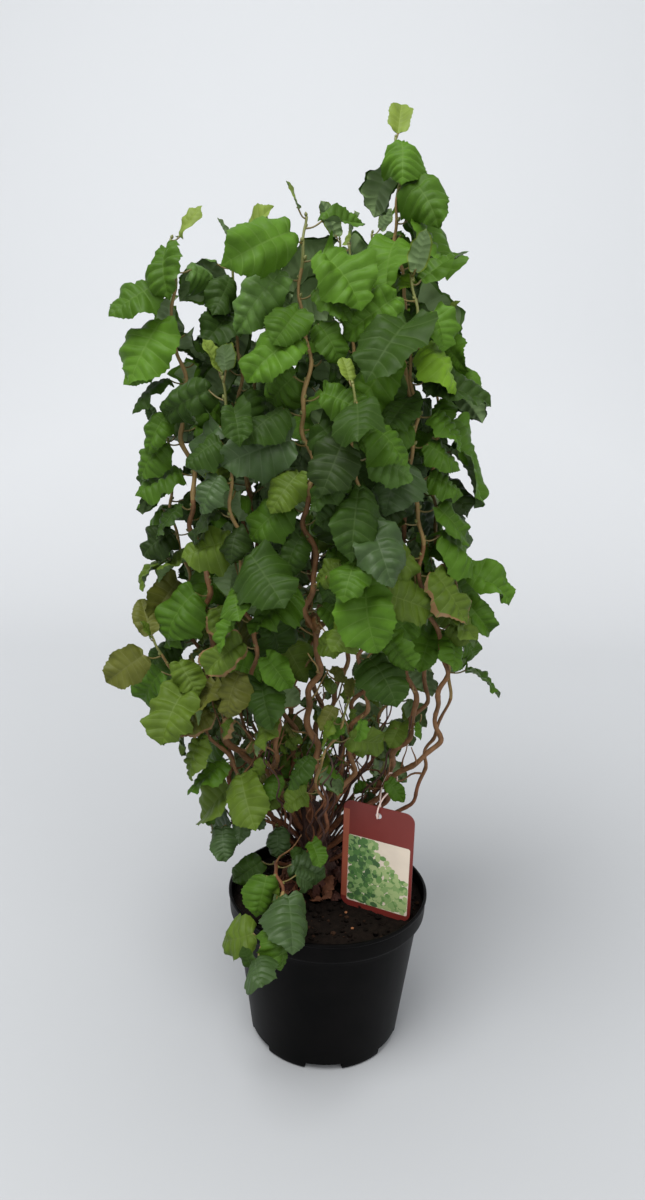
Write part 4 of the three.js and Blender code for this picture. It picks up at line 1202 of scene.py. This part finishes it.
def sucker_piece():
    chance = chance_from(SUCKER_SEED)
    shape = Shape()
    for number in range(SUCKERS):
        points = sucker_points(number, chance)
        if not any(by_label(point) for point in points):
            radius = SUCKER_RADIUS * drawn(SUCKER_THICKNESS, chance)
            radii = np.linspace(radius, TWIG_TIP_RADIUS, len(points))
            look = "bark_old" if chance() < BROWN_SUCKERS else "bark_stump"
            shape.add_tube(points, radii, THIN_SIDES, look)
    shape.piece("suckers_bark")


# The stump, lobed like the stems grown together in it, with root flare, ridges and a rounded top
def trunk_piece():
    rings = []
    turns = turns_of(TRUNK_SIDES)
    for i in range(TRUNK_RINGS + 1):
        share = i / TRUNK_RINGS
        flare = (TRUNK_FOOT_RADIUS - TRUNK_WAIST_RADIUS) * (1 - share) ** TRUNK_FLARE_POWER
        waves = 0.0
        for size, crests, rise, start in TRUNK_WAVES:
            waves = waves + size * np.sin(crests * turns + rise * share + start)
        roots = TRUNK_ROOTS * (1 - share) ** 4 * np.sin(7 * turns + 2)
        wrinkles = TRUNK_WRINKLES * np.sin(46 * share + 2 * np.sin(4 * turns))
        in_dome = max(0.0, (share - 1 + TRUNK_DOME) / TRUNK_DOME)
        dome = math.sqrt(1 - 0.9 * in_dome**2)
        reach = (TRUNK_WAIST_RADIUS + flare) * (1 + waves + roots + wrinkles) * dome
        rings.append(trunk_axis(TRUNK_HEIGHT * share) + level_ring(reach, 0, turns))
    shape = Shape()
    shape.add_rings(rings, TRUNK_SIDES, "bark_stump")
    shape.piece("trunk_bark", "trunk")


# The angles of the strips round the pot's wall, and whether each strip lies in a slot
def wall_strips():
    angles = []
    for i in range(DRAIN_SLOTS):
        start = (i + 0.5) / DRAIN_SLOTS * math.tau - DRAIN_SLOT_ARC / 2
        rest = math.tau / DRAIN_SLOTS - DRAIN_SLOT_ARC
        angles += [start + DRAIN_SLOT_ARC * k / SLOT_STRIPS for k in range(SLOT_STRIPS)]
        angles += [start + DRAIN_SLOT_ARC + rest * k / WALL_STRIPS for k in range(WALL_STRIPS)]
    in_slot = ([True] * SLOT_STRIPS + [False] * WALL_STRIPS) * DRAIN_SLOTS
    return np.array(angles), in_slot


def stepped(radius, height, steps):
    return [(radius + out, height + up) for out, up in steps]


# The pot's profile as pairs of radius and height, from the middle of its underside over the rim to the middle
# of its floor, and the numbers of the rows that bound a slot
def pot_profile():
    cut = FOOT_RADIUS - DRAIN_SLOT_REACH
    slope = (WALL_TOP - FOOT_RADIUS) / (COLLAR_UNDER - FOOT_CHAMFER)

    def wall(z):
        return FOOT_RADIUS + slope * (z - FOOT_CHAMFER)

    slot_wall = wall(DRAIN_SLOT_HEIGHT)
    outer = [(cut, 0)] + stepped(FOOT_RADIUS, 0, FOOT_STEPS) + [(slot_wall, DRAIN_SLOT_HEIGHT)]
    rise = [(wall(z), z) for z in range(2 * WALL_RING_STEP, COLLAR_UNDER - 1, WALL_RING_STEP)]
    collar = stepped(WALL_TOP, COLLAR_UNDER, COLLAR_STEPS) + stepped(RIM_RADIUS, POT_HEIGHT, RIM_STEPS)
    inner = [(slot_wall - POT_WALL, DRAIN_SLOT_HEIGHT), (FOOT_RADIUS - POT_WALL, POT_FLOOR), (cut, POT_FLOOR)]
    start = [(MIDDLE_RADIUS, 0)]
    end = [(MIDDLE_RADIUS, POT_FLOOR)]
    profile = start + outer + rise + collar + [(WALL_TOP - POT_WALL, COLLAR_UNDER)] + inner + end
    outer_rows = [len(start) + i for i in range(len(outer))]
    inner_rows = [len(profile) - 1 - len(inner) + i for i in range(len(inner))]
    return profile, outer_rows, inner_rows


# The pot's wall with its collar and floor, with slots round the foot
def pot_piece():
    angles, in_slot = wall_strips()
    profile, outer_rows, inner_rows = pot_profile()
    slot_rows = outer_rows + inner_rows
    count = len(angles)

    def strip(row, other, k):
        n = (k + 1) % count
        return [other * count + k, other * count + n, row * count + n, row * count + k]

    faces = []
    for row in range(len(profile) - 1):
        open_row = row in slot_rows and row + 1 in slot_rows
        faces += [strip(row, row + 1, k) for k in range(count) if not (in_slot[k] and open_row)]
    for k in range(count):
        n = (k + 1) % count
        if in_slot[k]:
            faces.append(strip(outer_rows[-1], inner_rows[0], k))
            faces.append(strip(inner_rows[-1], outer_rows[0], k))
        if in_slot[k] and not in_slot[k - 1]:
            faces.append([row * count + k for row in slot_rows[::-1]])
        if in_slot[k] and not in_slot[n]:
            faces.append([row * count + n for row in slot_rows])
    faces.append(list(range(count)))
    faces.append([(len(profile) - 1) * count + k for k in range(count)][::-1])
    shape = Shape()
    shape.add(np.concatenate([level_ring(radius, z, angles) for radius, z in profile]), faces, "pot_black")
    made = shape.piece("pot_wall", "pot")
    made.data.set_sharp_from_angle(angle=math.radians(SHARP_ANGLE))


# The unevenness of the soil: waves that grow shorter and lower, each in its own direction
def bumpy(x, y, phases):
    height = 0.0
    for i, phase in enumerate(phases):
        turn = i * SOIL_WAVE_TURN + phase
        length = SOIL_WAVE_LENGTH / (1 + i * SOIL_WAVE_SHORTENING)
        onward = x * math.cos(turn) + y * math.sin(turn)
        height = height + np.sin(onward * math.tau / length + phase) / (1 + i * SOIL_WAVE_LOWERING)
    return height


def add_crumb(shape, rough):
    distance = (SOIL_RADIUS - SOIL_INNER_RADIUS) * math.sqrt(rough.random())
    turn = rough.random() * math.tau
    size = CRUMB_SIZE[0] + CRUMB_SIZE[1] * rough.random() ** 2
    height = SOIL_TOP + CRUMB_LIFT + size * 0.3
    middle = np.array([distance * math.cos(turn), distance * math.sin(turn), height])
    rings = []
    for i in range(CRUMB_ROWS):
        tilt = math.pi * (i + 0.5) / CRUMB_ROWS
        turns = turns_of(CRUMB_SIDES) + math.pi * (3 - math.sqrt(5)) * i
        reach = size * (0.75 + 0.5 * rough.random(CRUMB_SIDES))
        rings.append(middle + level_ring(reach * math.sin(tilt), -0.7 * reach * math.cos(tilt), turns))
    brown = rough.random() < BROWN_CRUMBS
    chip = not brown and rough.random() < CHIPS
    shape.add_rings(rings, CRUMB_SIDES, "soil_brown" if brown else "soil_chip" if chip else "soil_dark")


# Peaty soil: an uneven top with crumbs and chips on it, over plain sides
def soil_piece():
    rough = np.random.default_rng(SOIL_SEED)
    phases = rough.random(SOIL_WAVES) * 6.28
    turns = turns_of(SOIL_SIDES)
    rings = [level_ring(radius, z, turns) for radius, z in SOIL_UNDER]
    for radius in np.linspace(SOIL_RADIUS, SOIL_INNER_RADIUS, SOIL_RINGS):
        x = radius * np.cos(turns)
        y = radius * np.sin(turns)
        edge = min(1.0, (SOIL_RADIUS - radius) / SOIL_EDGE)
        bumps = SOIL_WAVE_HEIGHT * bumpy(x, y, phases) + SOIL_ROUGHNESS * rough.random(SOIL_SIDES)
        rings.append(np.stack([x, y, SOIL_TOP + edge * bumps - SOIL_SINK * (1 - edge)], axis=1))
    shape = Shape()
    shape.add_rings(rings, SOIL_SIDES, "soil_dark")
    for _ in range(CRUMBS):
        add_crumb(shape, rough)
    shape.piece("soil_top", "soil")


# A curled dead leaf by the foot of the stump
def dead_leaf(chance):
    turn = chance() * 360
    spread = chance() ** 1.2
    reach = LITTER_REACH[0] + LITTER_REACH[1] * spread
    rise = LITTER_RISE[0] + LITTER_RISE[1] * chance() * (1 - spread) ** 2
    base = TRUNK_MIDDLE + UP * (SOIL_TOP + rise) + compass(turn) * reach
    along = unit(compass(turn + 150 * (chance() - 0.5)) + UP * (0.7 * (chance() - 0.45)))
    lit = UP + compass(chance() * 360) * 0.7
    return leaf_of(DEAD_LEAF, lit, base, along, drawn(LITTER_LENGTH, chance), chance)


def litter_piece():
    chance = chance_from(LITTER_SEED)
    shape = Shape()
    for _ in range(LITTER):
        points = blade_mesh(SMALL, dead_leaf(chance), chance)
        points[:, 2] = np.maximum(points[:, 2], SOIL_TOP + LOWEST_LITTER)
        shape.add(points, SMALL.faces, "leaf_dead_pale" if chance() < PALE_LITTER else "leaf_dead")
    shape.piece("dead_leaves")


def plate_outline(width, low, high, corner, steps=8):
    points = []
    right = width / 2 - corner
    for x, z, start in (
        (right, low + corner, -90),
        (right, high - corner, 0),
        (-right, high - corner, 90),
        (-right, low + corner, 180),
    ):
        for i in range(steps + 1):
            a = math.radians(start + 90 * i / steps)
            points.append((x + corner * math.cos(a), z + corner * math.sin(a)))
    return points


def label_place(x, z, depth):
    foot = np.array([LABEL_X, LABEL_Y, SOIL_TOP + GAP])
    return foot + compass(LABEL_TURN) * x + compass(LABEL_TURN - 90) * depth + UP * z


# A plate with a hole, whose front and back are each two halves, so that each face stays simple
def plate_with_hole(shape, outline, half_thickness):
    hole_z = LABEL_HEIGHT - LABEL_HOLE_DROP
    hole = []
    for turn in turns_of(LABEL_HOLE_SIDES) - math.pi / 2:
        hole.append((LABEL_HOLE_RADIUS * math.cos(turn), hole_z + LABEL_HOLE_RADIUS * math.sin(turn)))
    across = LABEL_HOLE_SIDES // 2
    right = [(0, outline[0][1])] + [p for p in outline if p[0] > 0] + [(0, LABEL_HEIGHT)]
    left = [(0, LABEL_HEIGHT)] + [p for p in outline if p[0] < 0] + [(0, outline[0][1])]
    for half in (right + hole[:across + 1][::-1], left + (hole[across:] + hole[:1])[::-1]):
        corners = list(range(len(half)))
        shape.add([label_place(x, z, half_thickness) for x, z in half], [corners], "label_red")
        shape.add([label_place(x, z, -half_thickness) for x, z in half], [corners[::-1]], "label_back")
    for loop, way in ((outline, 1), (hole, -1)):
        count = len(loop)
        points = [label_place(x, z, depth) for depth in (half_thickness, -half_thickness) for x, z in loop]
        faces = [[i, i + count, (i + 1) % count + count, (i + 1) % count][::way] for i in range(count)]
        shape.add(points, faces, "label_red")


# A leafy blob of the label's picture and its tint, from shade at the left to light at the right, or nothing
# where the pale ground shows
def blob_of(rough):
    x = drawn(BLOB_X, rough.random)
    z = drawn(BLOB_Z, rough.random)
    pale = max(0.0, (x + 6) / 30) * max(0.0, (z - 30) / 38)
    if rough.random() < pale * 2.6:
        return None, None
    length = drawn(BLOB_LENGTH, rough.random)
    a = rough.random() * math.tau
    right = PICTURE_SHIFT + PICTURE_WIDTH / 2 - PICTURE_MARGIN
    left = PICTURE_SHIFT - PICTURE_WIDTH / 2 + PICTURE_MARGIN
    low = PICTURE_LOW + PICTURE_MARGIN
    high = PICTURE_HIGH - PICTURE_MARGIN
    points = []
    for turn in turns_of(BLOB_SIDES):
        along = math.cos(turn) * length / 2
        aside = math.sin(turn) * length * BLOB_WIDTH_SHARE
        px = clamped(x + along * math.cos(a) - aside * math.sin(a), left, right)
        pz = clamped(z + along * math.sin(a) + aside * math.cos(a), low, high)
        points.append((px, pz))
    light = rough.random() + 0.4 * (x > 0) - 0.2 * (x < -8)
    last = len(BLOB_TINTS) - 1
    return points, BLOB_TINTS[clamped(int(light * len(BLOB_TINTS)), 0, last)]


# The label: a red plate with an orange strip down its left side, and a plain leafy pattern on a pale ground
def label_piece():
    shape = Shape()
    front = LABEL_THICKNESS / 2
    outline = plate_outline(LABEL_WIDTH, 0, LABEL_HEIGHT, LABEL_CORNER)
    plate_with_hole(shape, outline, front)

    def printed(points, height, look):
        shape.add([label_place(x, z, front + height) for x, z in points], [list(range(len(points)))], look)

    strip = plate_outline(LABEL_STRIP_WIDTH, LABEL_CORNER, LABEL_HEIGHT - LABEL_CORNER, 0.5, 2)
    strip_x = LABEL_STRIP_INSET - LABEL_WIDTH / 2
    printed([(x + strip_x, z) for x, z in strip], PRINT_HEIGHT, "label_orange")
    ground = plate_outline(PICTURE_WIDTH, PICTURE_LOW, PICTURE_HIGH, 2, 4)
    printed([(x + PICTURE_SHIFT, z) for x, z in ground], PRINT_HEIGHT, "label_ground")
    rough = np.random.default_rng(PICTURE_SEED)
    for i in range(BLOBS):
        points, look = blob_of(rough)
        if points:
            printed(points, FIRST_BLOB_HEIGHT + BLOB_HEIGHT_STEP * i, look)
    shape.piece("label_plate", "label", smooth=False)


# A wave that stays longer near its crests than a sine does
def squarer(value):
    return math.copysign(abs(value) ** 0.5, value)


# The loop passes through the label's hole and over its top edge, and twists so that its far end lies round
# the stem that carries it. Its middle line is a list of points and the directions across the loop's plane.
def loop_line(stem):
    held = int(np.argmin(np.abs(stem.points[:, 2] - LOOP_HOLD_HEIGHT)))
    share = held / (len(stem.points) - 1)
    room = radius_at(stem.shoot, share) * LOOP_ROOM
    start = label_place(0, LABEL_HEIGHT - LABEL_HOLE_DROP + LOOP_LIFT * LOOP_START_LIFT, 0)
    span = stem.points[held] - start
    lengthwise = unit(span)
    aside = unit(np.cross(lengthwise, stem.direction(share)))
    wide = room + LOOP_THICKNESS
    half = (np.linalg.norm(span) + LOOP_FRONT + room + LOOP_THICKNESS * 2) / 2
    middle = start + lengthwise * (half - LOOP_FRONT)
    points = []
    planes = []
    for turn in turns_of(LOOP_TURNS):
        onward = squarer(math.cos(turn))
        level = smooth_step((onward + 1) / 2)
        offset = unit(UP * (1 - level) + aside * level)
        reach = squarer(math.sin(turn)) * (LOOP_LIFT + (wide - LOOP_LIFT) * level)
        points.append(middle + lengthwise * onward * half + offset * reach)
        planes.append(unit(np.cross(lengthwise, offset)))
    return points, planes


def loop_piece(stem):
    points, planes = loop_line(stem)
    rings = []
    for i, point in enumerate(points):
        tangent = unit(points[(i + 1) % LOOP_TURNS] - points[i - 1])
        outward = unit(np.cross(tangent, planes[i]))
        over = np.cross(outward, tangent)
        rings.append(ring_round(point, outward, over, LOOP_THICKNESS / 2, turns_of(LOOP_SIDES)))
    faces = [face[::-1] for face in skin(rings, LOOP_SIDES, closed=True)]
    shape = Shape()
    shape.add(np.concatenate(rings), faces, "loop_pink")
    shape.piece("label_loop_band", "label_loop")


# Studio: a pale floor that turns up into a wall, soft light from above and in front, and a camera where the
# photograph was taken from
def studio():
    path = [(-STUDIO_REACH, 0.0), (STUDIO_DEPTH - STUDIO_BEND, 0.0)]
    for i in range(1, STUDIO_BEND_STEPS + 1):
        a = math.pi / 2 * i / STUDIO_BEND_STEPS
        path.append((STUDIO_DEPTH - STUDIO_BEND * (1 - math.sin(a)), STUDIO_BEND * (1 - math.cos(a))))
    path.append((STUDIO_DEPTH, STUDIO_HEIGHT))
    points = [(x, y, z) for y, z in path for x in (-STUDIO_REACH, STUDIO_REACH)]
    faces = [[i * 2, i * 2 + 1, i * 2 + 3, i * 2 + 2] for i in range(len(path) - 1)]
    mesh = bpy.data.meshes.new("studio_floor")
    mesh.from_pydata(points, [], faces)
    mesh.polygons.foreach_set("use_smooth", [True] * len(faces))
    mesh.materials.append(studio_material())
    made = bpy.data.objects.new("studio_floor", mesh)
    bpy.context.collection.objects.link(made)


# The floor is a little darker near the pot than far from it: painted shade round the pot and the plant
def studio_material():
    made = new_material("studio_pale", STUDIO_ROUGHNESS, STUDIO_SPECULAR)
    tree = made.node_tree
    place = tree.nodes.new("ShaderNodeTexCoord")
    distance = tree.nodes.new("ShaderNodeVectorMath")
    distance.operation = "LENGTH"
    share = tree.nodes.new("ShaderNodeMapRange")
    share.inputs["From Min"].default_value = NEAR_FLOOR
    share.inputs["From Max"].default_value = FAR_FLOOR
    tree.links.new(place.outputs["Object"], distance.inputs[0])
    tree.links.new(distance.outputs["Value"], share.inputs["Value"])
    add_ramp(tree, share.outputs["Result"], (0.0, opaque(STUDIO_SHADED_NEAR)), (1.0, opaque(STUDIO_FAR)))
    return made


def area_light(name, place, target, size, power):
    light = bpy.data.lights.new(name, "AREA")
    light.shape = "DISK"
    light.size = size
    light.energy = power
    made = bpy.data.objects.new(name, light)
    made.location = place
    made.rotation_euler = (Vector(target) - Vector(place)).to_track_quat("-Z", "Y").to_euler()
    bpy.context.collection.objects.link(made)


def lights():
    world = bpy.data.worlds.new("studio_world")
    world.use_nodes = True
    background = world.node_tree.nodes["Background"]
    background.inputs["Color"].default_value = WORLD_COLOR
    background.inputs["Strength"].default_value = WORLD_STRENGTH
    bpy.context.scene.world = world
    area_light("key_light", place=(-0.6, -0.9, 2.4), target=(0, 0, 0.45), size=1.6, power=56)
    area_light("fill_light", place=(1.1, -1.9, 1.6), target=(0, 0, 0.4), size=2.4, power=18)


def camera():
    data = bpy.data.cameras.new("photo_camera")
    data.lens = CAMERA_LENS
    data.sensor_width = CAMERA_SENSOR
    made = bpy.data.objects.new("photo_camera", data)
    tilt = Matrix.Rotation(math.radians(90 - CAMERA_PITCH), 4, "X")
    roll = Matrix.Rotation(math.radians(CAMERA_ROLL), 4, "Z")
    made.matrix_world = Matrix.Translation(CAMERA_PLACE) @ tilt @ roll
    bpy.context.collection.objects.link(made)
    bpy.context.scene.camera = made


def main():
    stems = [Stem(shoot) for shoot in SHOOTS]
    for stem in stems:
        leaves = leaves_of(stem)
        twigs = side_twigs(stem)
        leaf_piece(stem, leaves, small_leaves(stem, twigs))
        stem_piece(stem, leaves, twigs)
    trunk_piece()
    sucker_piece()
    litter_piece()
    pot_piece()
    soil_piece()
    label_piece()
    loop_piece(next(stem for stem in stems if stem.shoot.name == LOOP_STEM))
    studio()
    lights()
    camera()
    bpy.context.scene.view_settings.view_transform = "Standard"


main()
